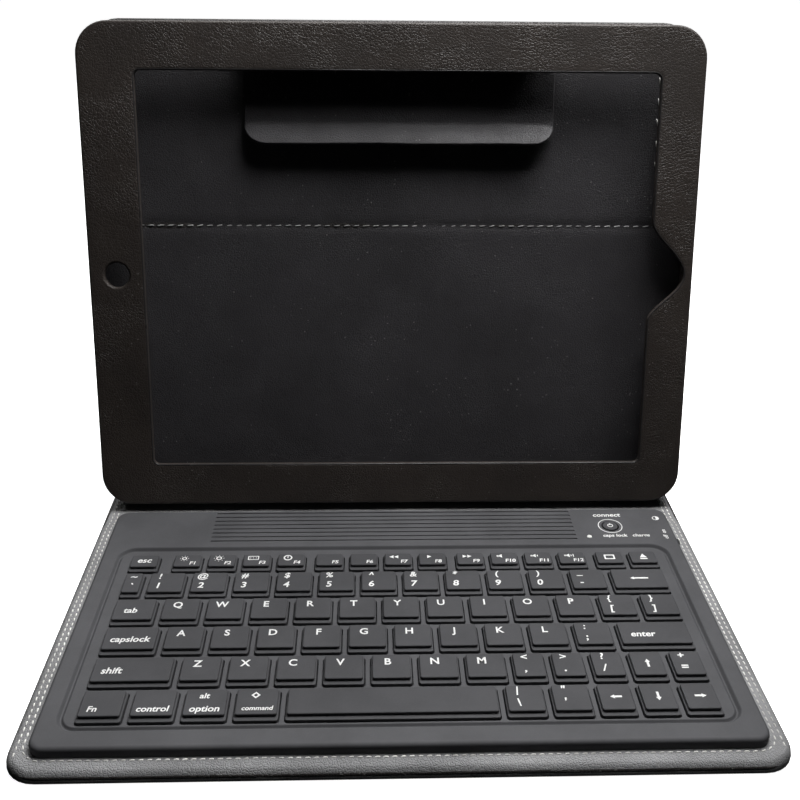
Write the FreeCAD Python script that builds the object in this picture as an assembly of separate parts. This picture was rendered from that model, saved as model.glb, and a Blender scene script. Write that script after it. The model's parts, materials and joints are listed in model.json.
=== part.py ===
"""Leather folio for a 9.7 inch tablet with a silicone keyboard on its base panel, standing open for typing.

Millimetres. X runs to the typist's right, Y away from the typist and Z up. The origin is the middle of
the base panel's underside. The base panel and the spine lie on the table. The prop panel leans forward
from the spine's rear edge to the pocket's back, and the pocket, which holds the tablet, leans back.
"""

import FreeCAD, Part
import math
import os

V = FreeCAD.Vector
NEAR = 0.01

# The cover: four panels of leather over board, with a lining inside.
COVER_WIDTH = 248.0
BASE_DEPTH = 196.0
LEATHER = 0.9
BOARD = 1.2
LINING = 0.7
PANEL = LEATHER + BOARD + LINING
EDGE_WRAP = 1.0
COVER_CORNER = 11.0
CREASE = 1.6

# The stand: the pocket and the prop are the equal sides of a triangle whose foot line is the base.
TILT = 13.5
PROP_LENGTH = 119.0
FOOT_FROM_FRONT = 147.0
HEEL_GAP = 0.4
FACE_GAP = 0.3
FOLD_SETBACK_BELOW = 1.3
FOLD_SETBACK_ABOVE = 0.7
HINGE_SETBACK = 0.4

# The pocket, in its own frame: X across, Y back from its front face, Z up its front face.
POCKET_WIDTH = 250.0
POCKET_HEIGHT = 198.0
FRAME_THICKNESS = LEATHER + BOARD
TABLET_SPACE = 11.0
BACK_LINING = 0.8
BACK_BOARD = 0.8
BACK_LEATHER = 0.5
BACK_INSET = 0.2
POCKET_DEPTH = FRAME_THICKNESS + TABLET_SPACE + BACK_LINING + BACK_BOARD + BACK_LEATHER
POCKET_TOP_CORNER = 13.0
POCKET_BOTTOM_CORNER = 13.0
GUSSET = 1.1
GUSSET_INSET = 0.6
GUSSET_TOP = POCKET_HEIGHT - POCKET_TOP_CORNER - 0.5
WINDOW_LEFT = -102.6
WINDOW_RIGHT = 107.0
WINDOW_BOTTOM = 18.0
WINDOW_TOP = 179.6
WINDOW_CORNER = 2.5
CAMERA_HOLE_X = -113.7
CAMERA_HOLE_RADIUS = 5.0
NOTCH_DEPTH = 14.3
NOTCH_HALF_HEIGHT = 19.0
MIDDLE_HEIGHT = 99.0

# The tuck flap closes the pocket's mouth: a strip from behind the frame's top, then a tongue down inside.
FLAP_CENTRE_X = 2.5
FLAP_HALF_WIDTH = 63.5
FLAP_THICKNESS = 1.2
FLAP_LENGTH = 46.0
FLAP_ROOT_GAP = 0.3
FLAP_TONGUE_FROM_FRONT = 10.4
FLAP_CORNER = 9.0
FLAP_BEND = 1.0
FLAP_TOP = POCKET_HEIGHT - 0.6

# The keyboard's case.
KEYBOARD_HALF_WIDTH = 116.6
KEYBOARD_FRONT = 6.0
KEYBOARD_REAR = 139.5
KEYBOARD_CORNER = 5.0
PAD = 0.3
SHELL_FLOOR = 0.8
SHELL_RIM = 1.2
SHELL_RIM_HEIGHT = 2.0
SKIN_WALL = 1.6
SKIN_DECK = 1.0
DECK_EDGE = 0.8
DECK_TOP = 8.2
WELL_FLOOR_TOP = 7.6
WELL_FLOOR = 0.8
WELL_WALL = 1.0
WELL_HALF_WIDTH = 109.4
WELL_FRONT = 14.6
WELL_REAR = 111.6
WELL_CORNER = 6.0
RIB_COUNT = 8
RIB_PITCH = 2.9
RIB_FIRST = 116.6
RIB_HALF_WIDTH = 75.0
RIB_WIDTH = 1.2
RIB_DEPTH = 0.4
LAYER_GAP = 0.2

# The keys. A cap stands on a wider skirt, which passes through an opening in the well's floor.
FIELD_WIDTH = 207.0
FIRST_ROW_FRONT = 18.2
ROW_PITCH = 15.9
KEY_GAP = 3.2
LETTER = 12.9
SMALL = 10.3
ARROW = 10.8
MODIFIER = 13.4
QUOTE = 12.0
BRACKET = 12.6
CAPS_LOCK = 18.2
TILDE = 6.4
CAP_DEPTH = 11.6
SHORT_CAP_DEPTH = 7.6
CAP_TOP = 9.8
SKIRT_TOP = 8.6
SKIRT_SIDE = 0.5
SKIRT_FRONT = 1.6
KEY_TRAVEL = 1.2
KEY_STOP_GAP = 0.35
KEY_CORNER = 0.8
CAP_EDGE = 0.4
KEY_CLEARANCE = 0.35
GROUP_GAP = 4.7
ESCAPE_GAP = 6.4

# Electronics in the bay behind the keys.
BAY_FRONT = 114.0
BAY_REAR = 136.0
BOARD_LEFT = 62.0
BOARD_RIGHT = 113.0
CIRCUIT_BOARD = 0.8
CHIP_SIZE = 7.0
CHIP_THICKNESS = 1.0
CHIP_FROM_CORNER = (5.0, 8.0)
BATTERY_LEFT = -74.0
BATTERY_RIGHT = 14.0
BATTERY_THICKNESS = 2.6
BATTERY_CORNER = 1.0
BATTERY_ROOM = 1.0
CONTACT_PILL_RADIUS = 2.0
CONTACT_PILL = 0.25
SHEET = 0.4
SHEET_INSET = 0.5
PAD_INSET = 4.0

# The connect button and the tactile switch below it, and the light.
CONNECT_X = 90.6
CONNECT_FROM_FRONT = 125.7
CONNECT_RADIUS = 3.25
CONNECT_TRAVEL = 0.4
CONNECT_PROUD = 0.2
CONNECT_EDGE = 0.3
TACT_HALF = 2.6
TACT_BODY = 1.1
TACT_PLUNGER = 0.3
TACT_PLUNGER_RADIUS = 1.2
LIGHT_X = 80.4
LIGHT_FROM_FRONT = 118.1
LIGHT_RADIUS = 1.0
LIGHT_PROUD = 0.1
LENS_FIT = 0.05
LED_HALF_WIDTH = 0.8
LED_HALF_DEPTH = 0.5
LED_THICKNESS = 0.6

# The slide switch and the charging socket in the right wall.
SWITCH_FROM_FRONT = 118.4
SWITCH_TRAVEL = 2.5
SWITCH_NUB = 3.0
SWITCH_HALF_LENGTH = 4.2
SWITCH_DEPTH = 4.2
SWITCH_HEIGHT = 2.0
SWITCH_WALL = 1.0
NUB_HEIGHT = 1.2
NUB_PROUD = 1.2
SOCKET_FROM_FRONT = 131.0
SOCKET_WIDTH = 7.6
SOCKET_HEIGHT = 2.4
SOCKET_DEPTH = 6.0
SOCKET_SHEET = 0.3
SOCKET_PROUD = 1.4
CONTACT_TONGUE_HALF = 2.0
SLOT_CLEARANCE = 0.3

# What follows from those dimensions.
FRONT = -BASE_DEPTH / 2
SIN_TILT = math.sin(math.radians(TILT))
COS_TILT = math.cos(math.radians(TILT))
FOOT_Y = FRONT + FOOT_FROM_FRONT
FOOT_Z = PANEL + HEEL_GAP + POCKET_DEPTH * SIN_TILT
AXIS_DEPTH = POCKET_DEPTH + FACE_GAP / 2
HINGE_Y = FOOT_Y + AXIS_DEPTH * COS_TILT + 2 * PROP_LENGTH * SIN_TILT
HINGE_Z = FOOT_Z - AXIS_DEPTH * SIN_TILT
PAD_TOP = PANEL + PAD
SHELL_TOP = PAD_TOP + SHELL_FLOOR
CIRCUIT_TOP = SHELL_TOP + CIRCUIT_BOARD
BACKING_TOP = SHELL_TOP + SHEET
MEMBRANE_TOP = BACKING_TOP + SHEET
KEY_BOTTOM = MEMBRANE_TOP + CONTACT_PILL + KEY_TRAVEL + KEY_STOP_GAP
PLUNGER_TOP = CIRCUIT_TOP + TACT_BODY + TACT_PLUNGER
SWITCH_FACE = BOARD_RIGHT + 0.6
NUB_BOTTOM = CIRCUIT_TOP + (SWITCH_HEIGHT - NUB_HEIGHT) / 2


def block(x0, x1, y0, y1, z0, z1):
    """A box between two corners."""
    return Part.makeBox(x1 - x0, y1 - y0, z1 - z0, V(x0, y0, z0))


def rounded(shape, direction, radius, where=None):
    """The shape with its straight edges along a direction rounded. where picks them by their middles."""
    chosen = []
    for edge in shape.Edges:
        start = edge.Vertexes[0].Point
        along = edge.Vertexes[-1].Point.sub(start)
        middle = start + along * 0.5
        parallel = along.Length > 0 and along.cross(direction).Length < 1e-6 * along.Length
        if parallel and (where is None or where(middle)):
            chosen.append(edge)
    return shape.makeFillet(radius, chosen)


def level_plate(x0, x1, y0, y1, z0, z1, radius):
    """A flat plate with rounded upright corners."""
    return rounded(block(x0, x1, y0, y1, z0, z1), V(0, 0, 1), radius)


def rod(x, y, radius, z0, z1):
    """An upright cylinder."""
    return Part.makeCylinder(radius, z1 - z0, V(x, y, z0))


def edges_above(shape, height):
    """The edges of a shape that lie wholly above a height."""
    return [edge for edge in shape.Edges if min(vertex.Z for vertex in edge.Vertexes) > height]


def from_front(distance):
    """The Y of a place that is so far behind the base's front edge."""
    return FRONT + distance


def on_pocket(shape):
    """Moves a shape from the pocket's frame to its place on the stand."""
    shape = shape.copy()
    shape.Placement = FreeCAD.Placement(V(0, FOOT_Y, FOOT_Z), FreeCAD.Rotation(V(1, 0, 0), -TILT))
    return shape


def on_prop(shape):
    """Moves a shape from the prop's frame, whose origin is on the rear hinge, to its place."""
    shape = shape.copy()
    shape.Placement = FreeCAD.Placement(V(0, HINGE_Y, HINGE_Z), FreeCAD.Rotation(V(1, 0, 0), TILT))
    return shape


def save(node, shape):
    """Writes one sub-part."""
    if not shape.isValid():
        raise ValueError(node + " is not a valid solid")
    shape.exportStep("parts/" + node + ".step")


# ---- base panel and spine ----


def base_outline(inset, z0, z1, rear):
    """A plate the shape of the base panel, with round front corners and square rear ones."""
    half = COVER_WIDTH / 2 - inset
    plate = block(-half, half, FRONT + inset, rear, z0, z1)
    return rounded(plate, V(0, 0, 1), COVER_CORNER - inset, lambda middle: middle.y < 0)


def base_panel():
    """Outer leather turned up round the boards, the two boards and the lining over them."""
    rear = HINGE_Y - HINGE_SETBACK
    leather = base_outline(0, 0, PANEL, rear)
    leather = leather.cut(base_outline(EDGE_WRAP, LEATHER, PANEL, rear - EDGE_WRAP))
    spine_front = FRONT + BASE_DEPTH
    base_board = base_outline(EDGE_WRAP, LEATHER, LEATHER + BOARD, spine_front - CREASE)
    half = COVER_WIDTH / 2 - EDGE_WRAP
    spine_board = block(-half, half, spine_front, rear - EDGE_WRAP, LEATHER, LEATHER + BOARD)
    save("base_outer_leather", leather)
    save("base_board", base_board)
    save("spine_board", spine_board)
    save("base_lining", base_outline(EDGE_WRAP, LEATHER + BOARD, PANEL, rear - EDGE_WRAP))


# ---- prop panel ----


def prop_panel():
    """Leather, board and lining of the panel that holds the pocket up from behind."""
    half = COVER_WIDTH / 2
    inner = FACE_GAP / 2
    low, high = HINGE_SETBACK, PROP_LENGTH - FOLD_SETBACK_BELOW
    leather = block(-half, half, inner, inner + PANEL, low, high)
    inside = (-half + EDGE_WRAP, half - EDGE_WRAP)
    hollow = block(*inside, inner, inner + PANEL - LEATHER, low + EDGE_WRAP, high - EDGE_WRAP)
    board = block(*inside, inner + LINING, inner + LINING + BOARD, low + EDGE_WRAP, high - EDGE_WRAP)
    lining = block(*inside, inner, inner + LINING, low + EDGE_WRAP, high - EDGE_WRAP)
    save("prop_outer_leather", on_prop(leather.cut(hollow)))
    save("prop_board", on_prop(board))
    save("prop_lining", on_prop(lining))


# ---- tablet pocket ----


def pocket_plate(inset, y0, y1):
    """A plate the shape of the pocket's front, with all four corners rounded."""
    half = POCKET_WIDTH / 2 - inset
    plate = block(-half, half, y0, y1, inset, POCKET_HEIGHT - inset)
    low = POCKET_BOTTOM_CORNER - inset
    high = POCKET_TOP_CORNER - inset
    plate = rounded(plate, V(0, 1, 0), low, lambda middle: middle.z < MIDDLE_HEIGHT)
    return rounded(plate, V(0, 1, 0), high, lambda middle: middle.z > MIDDLE_HEIGHT)


def notch(grow, y0, y1):
    """The bell-shaped bay beside the home button, on the window's right."""
    deep = WINDOW_RIGHT + NOTCH_DEPTH + grow
    halfway = (WINDOW_RIGHT + deep) / 2
    reach = NOTCH_HALF_HEIGHT + grow
    low, high = MIDDLE_HEIGHT - reach, MIDDLE_HEIGHT + reach
    bell = Part.BSplineCurve()
    points = [
        V(WINDOW_RIGHT, y0, low),
        V(halfway, y0, MIDDLE_HEIGHT - reach / 2),
        V(deep, y0, MIDDLE_HEIGHT),
        V(halfway, y0, MIDDLE_HEIGHT + reach / 2),
        V(WINDOW_RIGHT, y0, high),
    ]
    bell.interpolate(Points=points, InitialTangent=V(0, 0, 1), FinalTangent=V(0, 0, 1))
    back = Part.LineSegment(points[-1], points[0])
    wire = Part.Wire([bell.toShape(), back.toShape()])
    return Part.Face(wire).extrude(V(0, y1 - y0, 0))


def window(grow, y0, y1):
    """The window, the home-button bay and the camera hole as one cutter."""
    left, right = WINDOW_LEFT - grow, WINDOW_RIGHT + grow
    opening = block(left, right, y0, y1, WINDOW_BOTTOM - grow, WINDOW_TOP + grow)
    opening = rounded(opening, V(0, 1, 0), WINDOW_CORNER + grow)
    hole_place = V(CAMERA_HOLE_X, y0, MIDDLE_HEIGHT)
    hole = Part.makeCylinder(CAMERA_HOLE_RADIUS + grow, y1 - y0, hole_place, V(0, 1, 0))
    return opening.fuse(notch(grow, y0, y1)).fuse(hole)


def pocket_frame():
    """The front frame: leather turned round every edge of its board."""
    board = pocket_plate(LEATHER, LEATHER, FRAME_THICKNESS)
    board = board.cut(window(LEATHER, 0, POCKET_DEPTH))
    leather = pocket_plate(0, 0, FRAME_THICKNESS).cut(window(0, -1, POCKET_DEPTH))
    save("frame_board", on_pocket(board))
    save("frame_leather", on_pocket(leather.cut(board)))


def pocket_gusset():
    """The strip that joins the frame to the back along both sides and the bottom."""
    deep = FRAME_THICKNESS + TABLET_SPACE
    outer = POCKET_WIDTH / 2 - GUSSET_INSET
    inner = outer - GUSSET
    low = GUSSET_INSET + GUSSET
    strip = block(-outer, outer, FRAME_THICKNESS, deep, GUSSET_INSET, GUSSET_TOP)
    hollow = block(-inner, inner, FRAME_THICKNESS, deep, low, POCKET_HEIGHT)
    corner = POCKET_BOTTOM_CORNER - GUSSET_INSET
    strip = rounded(strip, V(0, 1, 0), corner, lambda middle: middle.z < MIDDLE_HEIGHT)
    hollow = rounded(hollow, V(0, 1, 0), corner - GUSSET, lambda middle: middle.z < MIDDLE_HEIGHT)
    save("pocket_gusset", on_pocket(strip.cut(hollow)))


def pocket_back():
    """The back of the pocket: the lining that the tablet rests on, its board and the leather behind."""
    lining_front = FRAME_THICKNESS + TABLET_SPACE
    board_front = lining_front + BACK_LINING
    leather_front = board_front + BACK_BOARD
    save("pocket_back_lining", on_pocket(pocket_plate(BACK_INSET, lining_front, board_front)))
    save("pocket_back_board", on_pocket(pocket_plate(BACK_INSET, board_front, leather_front)))
    save("pocket_back_leather", on_pocket(pocket_plate(BACK_INSET, leather_front, POCKET_DEPTH)))


def upper_back():
    """The cover's top panel, which is glued to the pocket's back above the fold line."""
    half = COVER_WIDTH / 2
    low = PROP_LENGTH + FOLD_SETBACK_ABOVE
    panel = block(-half, half, POCKET_DEPTH, POCKET_DEPTH + PANEL, low, POCKET_HEIGHT)
    panel = rounded(panel, V(0, 1, 0), POCKET_TOP_CORNER, lambda middle: middle.z > POCKET_HEIGHT - 1)
    back = POCKET_DEPTH + PANEL - LEATHER
    wrap = half - EDGE_WRAP
    board = block(-wrap, wrap, POCKET_DEPTH, back, low + EDGE_WRAP, POCKET_HEIGHT - EDGE_WRAP)
    corner = POCKET_TOP_CORNER - EDGE_WRAP
    board = rounded(board, V(0, 1, 0), corner, lambda middle: middle.z > POCKET_HEIGHT - 2)
    save("upper_back_board", on_pocket(board))
    save("upper_back_leather", on_pocket(panel.cut(board)))


def tuck_flap():
    """The flap over the pocket's mouth, with the tongue that goes down behind the tablet."""
    left = FLAP_CENTRE_X - FLAP_HALF_WIDTH
    right = FLAP_CENTRE_X + FLAP_HALF_WIDTH
    root = FRAME_THICKNESS + FLAP_ROOT_GAP
    back = FLAP_TONGUE_FROM_FRONT + FLAP_THICKNESS
    underside = FLAP_TOP - FLAP_THICKNESS
    end = FLAP_TOP - FLAP_LENGTH
    strip = block(left, right, root, back, underside, FLAP_TOP)
    tongue = block(left, right, FLAP_TONGUE_FROM_FRONT, back, end, underside)
    tongue = rounded(tongue, V(0, 1, 0), FLAP_CORNER, lambda middle: middle.z < end + FLAP_CORNER)
    flap = strip.fuse(tongue).removeSplitter()
    bend = V(FLAP_CENTRE_X, back, FLAP_TOP)
    flap = rounded(flap, V(1, 0, 0), FLAP_BEND, lambda middle: middle.sub(bend).Length < NEAR)
    save("tuck_flap", on_pocket(flap))


# ---- keyboard ----


def key_rows():
    """The rows from the front, each a list of (node, widths of its keys). None takes what is left."""
    function_block = [SMALL] * 4
    rows = [
        [("fn_key", [MODIFIER]), ("control_key", [MODIFIER]), ("option_key", [MODIFIER]),
         ("command_key", [MODIFIER]), ("space_key", [None]), ("bottom_punctuation_keys", [QUOTE] * 2),
         ("left_arrow_key", [ARROW]), ("down_arrow_key", [ARROW]), ("right_arrow_key", [ARROW])],
        [("shift_key", [None]), ("lower_letter_keys", [LETTER] * 7),
         ("lower_punctuation_keys", [SMALL] * 3),
         ("up_arrow_key", [ARROW]), ("equals_key", [SMALL])],
        [("caps_lock_key", [CAPS_LOCK]), ("middle_letter_keys", [LETTER] * 9),
         ("right_punctuation_keys", [BRACKET]), ("enter_key", [None])],
        [("tab_key", [None]), ("upper_letter_keys", [LETTER] * 10),
         ("right_punctuation_keys", [BRACKET] * 2)],
        [("tilde_key", [TILDE]), ("number_keys", [LETTER] * 11), ("backspace_key", [None])],
        [("escape_key", [SMALL]), ("function_keys_1_to_4", function_block),
         ("function_keys_5_to_8", function_block), ("function_keys_9_to_12", function_block),
         ("home_key", [SMALL]), ("eject_key", [SMALL])],
    ]
    return rows


def gap_before(node, position):
    """The gap on the left of a key. The top row's blocks stand further apart."""
    if position == 0 and node == "function_keys_1_to_4":
        return ESCAPE_GAP
    if position == 0 and node in ("function_keys_5_to_8", "function_keys_9_to_12", "home_key"):
        return GROUP_GAP
    return KEY_GAP


def key_places():
    """Every key as (node, left, right, front, rear) of its cap, row by row from the front."""
    places = []
    for number, row in enumerate(key_rows()):
        front = from_front(FIRST_ROW_FRONT + number * ROW_PITCH)
        depth = SHORT_CAP_DEPTH if row[0][0] == "escape_key" else CAP_DEPTH
        keys = [(node, i, width) for node, widths in row for i, width in enumerate(widths)]
        gaps = [0.0] + [gap_before(node, i) for node, i, width in keys[1:]]
        used = sum(gaps) + sum(width for node, i, width in keys if width)
        x = -FIELD_WIDTH / 2
        for gap, (node, i, width) in zip(gaps, keys):
            width = width or FIELD_WIDTH - used
            x += gap
            places.append((node, x, x + width, front, front + depth))
            x += width
    return places


def skirt(place, grow, z0, z1):
    """The wide lower part of a key, grown on every side."""
    node, left, right, front, rear = place
    side = SKIRT_SIDE + grow
    corner = KEY_CORNER + grow
    return level_plate(left - side, right + side, front - SKIRT_FRONT - grow, rear + side, z0, z1, corner)


def key(place):
    """One key: a cap with a softened top edge on its skirt."""
    node, left, right, front, rear = place
    cap = level_plate(left, right, front, rear, SKIRT_TOP, CAP_TOP, KEY_CORNER)
    cap = cap.makeFillet(CAP_EDGE, edges_above(cap, CAP_TOP - NEAR))
    return skirt(place, 0, KEY_BOTTOM, SKIRT_TOP).fuse(cap)


def keys():
    """All the keys. Keys of one group share a node."""
    groups = {}
    for place in key_places():
        groups.setdefault(place[0], []).append(key(place))
    for node, solids in groups.items():
        save(node, solids[0] if len(solids) == 1 else Part.makeCompound(solids))


def keyboard_plate(inset, z0, z1):
    """A plate the shape of the keyboard."""
    half = KEYBOARD_HALF_WIDTH - inset
    front = from_front(KEYBOARD_FRONT) + inset
    rear = from_front(KEYBOARD_REAR) - inset
    return level_plate(-half, half, front, rear, z0, z1, KEYBOARD_CORNER - inset * 0.9)


def well_plate(inset, z0, z1):
    """A plate the shape of the sunk area round the keys."""
    half = WELL_HALF_WIDTH - inset
    front = from_front(WELL_FRONT) + inset
    rear = from_front(WELL_REAR) - inset
    return level_plate(-half, half, front, rear, z0, z1, WELL_CORNER - inset)


def grooves():
    """The row of shallow grooves behind the keys."""
    cuts = []
    for number in range(RIB_COUNT):
        y = from_front(RIB_FIRST + number * RIB_PITCH)
        low, high = y - RIB_WIDTH / 2, y + RIB_WIDTH / 2
        cuts.append(block(-RIB_HALF_WIDTH, RIB_HALF_WIDTH, low, high, DECK_TOP - RIB_DEPTH, DECK_TOP))
    return cuts


def side_opening(distance, reach, bottom, height):
    """A cutter through the skin's right wall, a little larger than what it clears."""
    inner = KEYBOARD_HALF_WIDTH - 2 * SKIN_WALL
    outer = KEYBOARD_HALF_WIDTH + SKIN_WALL
    y = from_front(distance)
    reach += SLOT_CLEARANCE
    return block(inner, outer, y - reach, y + reach, bottom - LAYER_GAP, bottom + height + LAYER_GAP)


def skin_openings():
    """What is cut through the skin: keys, connect button, light, power switch and charging socket."""
    cuts = [skirt(place, KEY_CLEARANCE, 0, CAP_TOP) for place in key_places()]
    connect_y = from_front(CONNECT_FROM_FRONT)
    cuts.append(rod(CONNECT_X, connect_y, CONNECT_RADIUS + SLOT_CLEARANCE, SHELL_TOP, CAP_TOP))
    cuts.append(rod(LIGHT_X, from_front(LIGHT_FROM_FRONT), LIGHT_RADIUS + LENS_FIT, SHELL_TOP, CAP_TOP))
    cuts.append(side_opening(SWITCH_FROM_FRONT, (SWITCH_NUB + SWITCH_TRAVEL) / 2, NUB_BOTTOM, NUB_HEIGHT))
    cuts.append(side_opening(SOCKET_FROM_FRONT, SOCKET_WIDTH / 2, CIRCUIT_TOP, SOCKET_HEIGHT))
    return cuts


def keyboard_skin():
    """The one-piece silicone top: walls, deck, sunk well with key openings, and grooves."""
    skin = keyboard_plate(0, PAD_TOP, DECK_TOP)
    skin = skin.makeFillet(DECK_EDGE, edges_above(skin, DECK_TOP - NEAR))
    well_underside = WELL_FLOOR_TOP - WELL_FLOOR
    hollow = keyboard_plate(SKIN_WALL, PAD_TOP, DECK_TOP - SKIN_DECK)
    hollow = hollow.cut(well_plate(-WELL_WALL, well_underside, DECK_TOP))
    skin = skin.cut(hollow)
    skin = skin.cut(well_plate(0, WELL_FLOOR_TOP, CAP_TOP))
    for cutter in grooves() + skin_openings():
        skin = skin.cut(cutter)
    save("keyboard_skin", skin)


def keyboard_body():
    """The adhesive pad, the tray that the skin sits round, the backing plate and the membrane circuit."""
    save("adhesive_pad", keyboard_plate(PAD_INSET, PANEL, PAD_TOP))
    rim_top = PAD_TOP + SHELL_RIM_HEIGHT
    rim = SKIN_WALL + LAYER_GAP
    tray = keyboard_plate(rim, PAD_TOP, rim_top)
    tray = tray.cut(keyboard_plate(rim + SHELL_RIM, SHELL_TOP, rim_top))
    gate_left = KEYBOARD_HALF_WIDTH - rim - SHELL_RIM - 1
    gate_front = from_front(BAY_FRONT) - SHELL_RIM
    gate_rear = from_front(BAY_REAR)
    tray = tray.cut(block(gate_left, KEYBOARD_HALF_WIDTH, gate_front, gate_rear, SHELL_TOP, rim_top))
    save("keyboard_tray", tray)
    save("backing_plate", well_plate(SHEET_INSET, SHELL_TOP, BACKING_TOP))
    membrane = well_plate(SHEET_INSET, BACKING_TOP, MEMBRANE_TOP)
    for node, left, right, front, rear in key_places():
        middle = (left + right) / 2, (front + rear) / 2
        membrane = membrane.fuse(rod(*middle, CONTACT_PILL_RADIUS, MEMBRANE_TOP, MEMBRANE_TOP + CONTACT_PILL))
    save("membrane_circuit", membrane)


# ---- electronics ----


def electronics():
    """Circuit board, wireless chip and battery."""
    front, rear = from_front(BAY_FRONT), from_front(BAY_REAR)
    save("controller_board", block(BOARD_LEFT, BOARD_RIGHT, front, rear, SHELL_TOP, CIRCUIT_TOP))
    chip_x = BOARD_LEFT + CHIP_FROM_CORNER[0]
    chip_y = front + CHIP_FROM_CORNER[1]
    chip_top = CIRCUIT_TOP + CHIP_THICKNESS
    chip_right, chip_rear = chip_x + CHIP_SIZE, chip_y + CHIP_SIZE
    save("wireless_chip", block(chip_x, chip_right, chip_y, chip_rear, CIRCUIT_TOP, chip_top))
    front, rear = front + BATTERY_ROOM, rear - BATTERY_ROOM
    cell = block(BATTERY_LEFT, BATTERY_RIGHT, front, rear, SHELL_TOP, SHELL_TOP + BATTERY_THICKNESS)
    save("battery_cell", rounded(cell, V(0, 1, 0), BATTERY_CORNER))


def connect_switch():
    """The round button in the deck and the tactile switch that it presses."""
    x, y = CONNECT_X, from_front(CONNECT_FROM_FRONT)
    body_top = CIRCUIT_TOP + TACT_BODY
    body = block(x - TACT_HALF, x + TACT_HALF, y - TACT_HALF, y + TACT_HALF, CIRCUIT_TOP, body_top)
    save("connect_switch", body.fuse(rod(x, y, TACT_PLUNGER_RADIUS, body_top, PLUNGER_TOP)))
    bottom = PLUNGER_TOP + CONNECT_TRAVEL + LAYER_GAP
    button = rod(x, y, CONNECT_RADIUS, bottom, DECK_TOP + CONNECT_PROUD)
    save("connect_button", button.makeFillet(CONNECT_EDGE, edges_above(button, DECK_TOP)))


def status_light():
    """The light on the circuit board and the lens over it."""
    x, y = LIGHT_X, from_front(LIGHT_FROM_FRONT)
    led_top = CIRCUIT_TOP + LED_THICKNESS
    left, right = x - LED_HALF_WIDTH, x + LED_HALF_WIDTH
    save("status_led", block(left, right, y - LED_HALF_DEPTH, y + LED_HALF_DEPTH, CIRCUIT_TOP, led_top))
    save("status_lens", rod(x, y, LIGHT_RADIUS, led_top + LAYER_GAP, DECK_TOP + LIGHT_PROUD))


def power_switch():
    """The slide switch in the right wall: a fixed body with a slot, and the nub that slides in it."""
    y = from_front(SWITCH_FROM_FRONT)
    inner = SWITCH_FACE - SWITCH_DEPTH
    front, rear = y - SWITCH_HALF_LENGTH, y + SWITCH_HALF_LENGTH
    body = block(inner, SWITCH_FACE, front, rear, CIRCUIT_TOP, CIRCUIT_TOP + SWITCH_HEIGHT)
    reach = (SWITCH_NUB + SWITCH_TRAVEL) / 2
    slot_bottom, slot_top = NUB_BOTTOM - LAYER_GAP, NUB_BOTTOM + NUB_HEIGHT + LAYER_GAP
    slot_reach = reach + SLOT_CLEARANCE
    slot = block(inner + SWITCH_WALL, SWITCH_FACE, y - slot_reach, y + slot_reach, slot_bottom, slot_top)
    save("power_switch_body", body.cut(slot))
    nub_inner = inner + SWITCH_WALL + SLOT_CLEARANCE
    nub_outer = KEYBOARD_HALF_WIDTH + NUB_PROUD
    nub_rear = y - reach + SWITCH_NUB
    nub = block(nub_inner, nub_outer, y - reach, nub_rear, NUB_BOTTOM, NUB_BOTTOM + NUB_HEIGHT)
    save("power_switch_slider", nub)


def charging_socket():
    """The charging socket's metal shell, open to the right, with its contact tongue inside."""
    y = from_front(SOCKET_FROM_FRONT)
    half = SOCKET_WIDTH / 2
    face = BOARD_RIGHT + SOCKET_PROUD
    inner = face - SOCKET_DEPTH
    top = CIRCUIT_TOP + SOCKET_HEIGHT
    room = half - SOCKET_SHEET
    low, high = CIRCUIT_TOP + SOCKET_SHEET, top - SOCKET_SHEET
    shell = block(inner, face, y - half, y + half, CIRCUIT_TOP, top)
    shell = shell.cut(block(inner + SOCKET_SHEET, face, y - room, y + room, low, high))
    middle = (low + high) / 2
    reach = CONTACT_TONGUE_HALF
    tongue_face = face - 4 * SOCKET_SHEET
    bottom, tongue_top = middle - SOCKET_SHEET, middle + SOCKET_SHEET
    tongue = block(inner + SOCKET_SHEET, tongue_face, y - reach, y + reach, bottom, tongue_top)
    save("charging_socket", shell.fuse(tongue))


def main():
    """Builds every sub-part."""
    os.makedirs("parts", exist_ok=True)
    base_panel()
    prop_panel()
    pocket_frame()
    pocket_gusset()
    pocket_back()
    upper_back()
    tuck_flap()
    keys()
    keyboard_skin()
    keyboard_body()
    electronics()
    connect_switch()
    status_light()
    power_switch()
    charging_socket()
    print("rear hinge", round(HINGE_Y, 3), round(HINGE_Z, 3))
    fold_y = HINGE_Y - PROP_LENGTH * SIN_TILT
    print("pocket fold", round(fold_y, 3), round(HINGE_Z + PROP_LENGTH * COS_TILT, 3))
    print("pocket foot", round(FOOT_Y, 3), round(FOOT_Z, 3))


main()
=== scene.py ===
"""The looks of a tablet keyboard case: leather folio, stitched linings, silicone keyboard and printed keys.

Shapes are built in millimetres in the frame of the panel that they lie on, and each panel's matrix takes them
to the row frame in metres.
"""

import json
import math
import random

import bmesh
import bpy
import numpy as np
from mathutils import Matrix, Vector, geometry, noise


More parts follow.
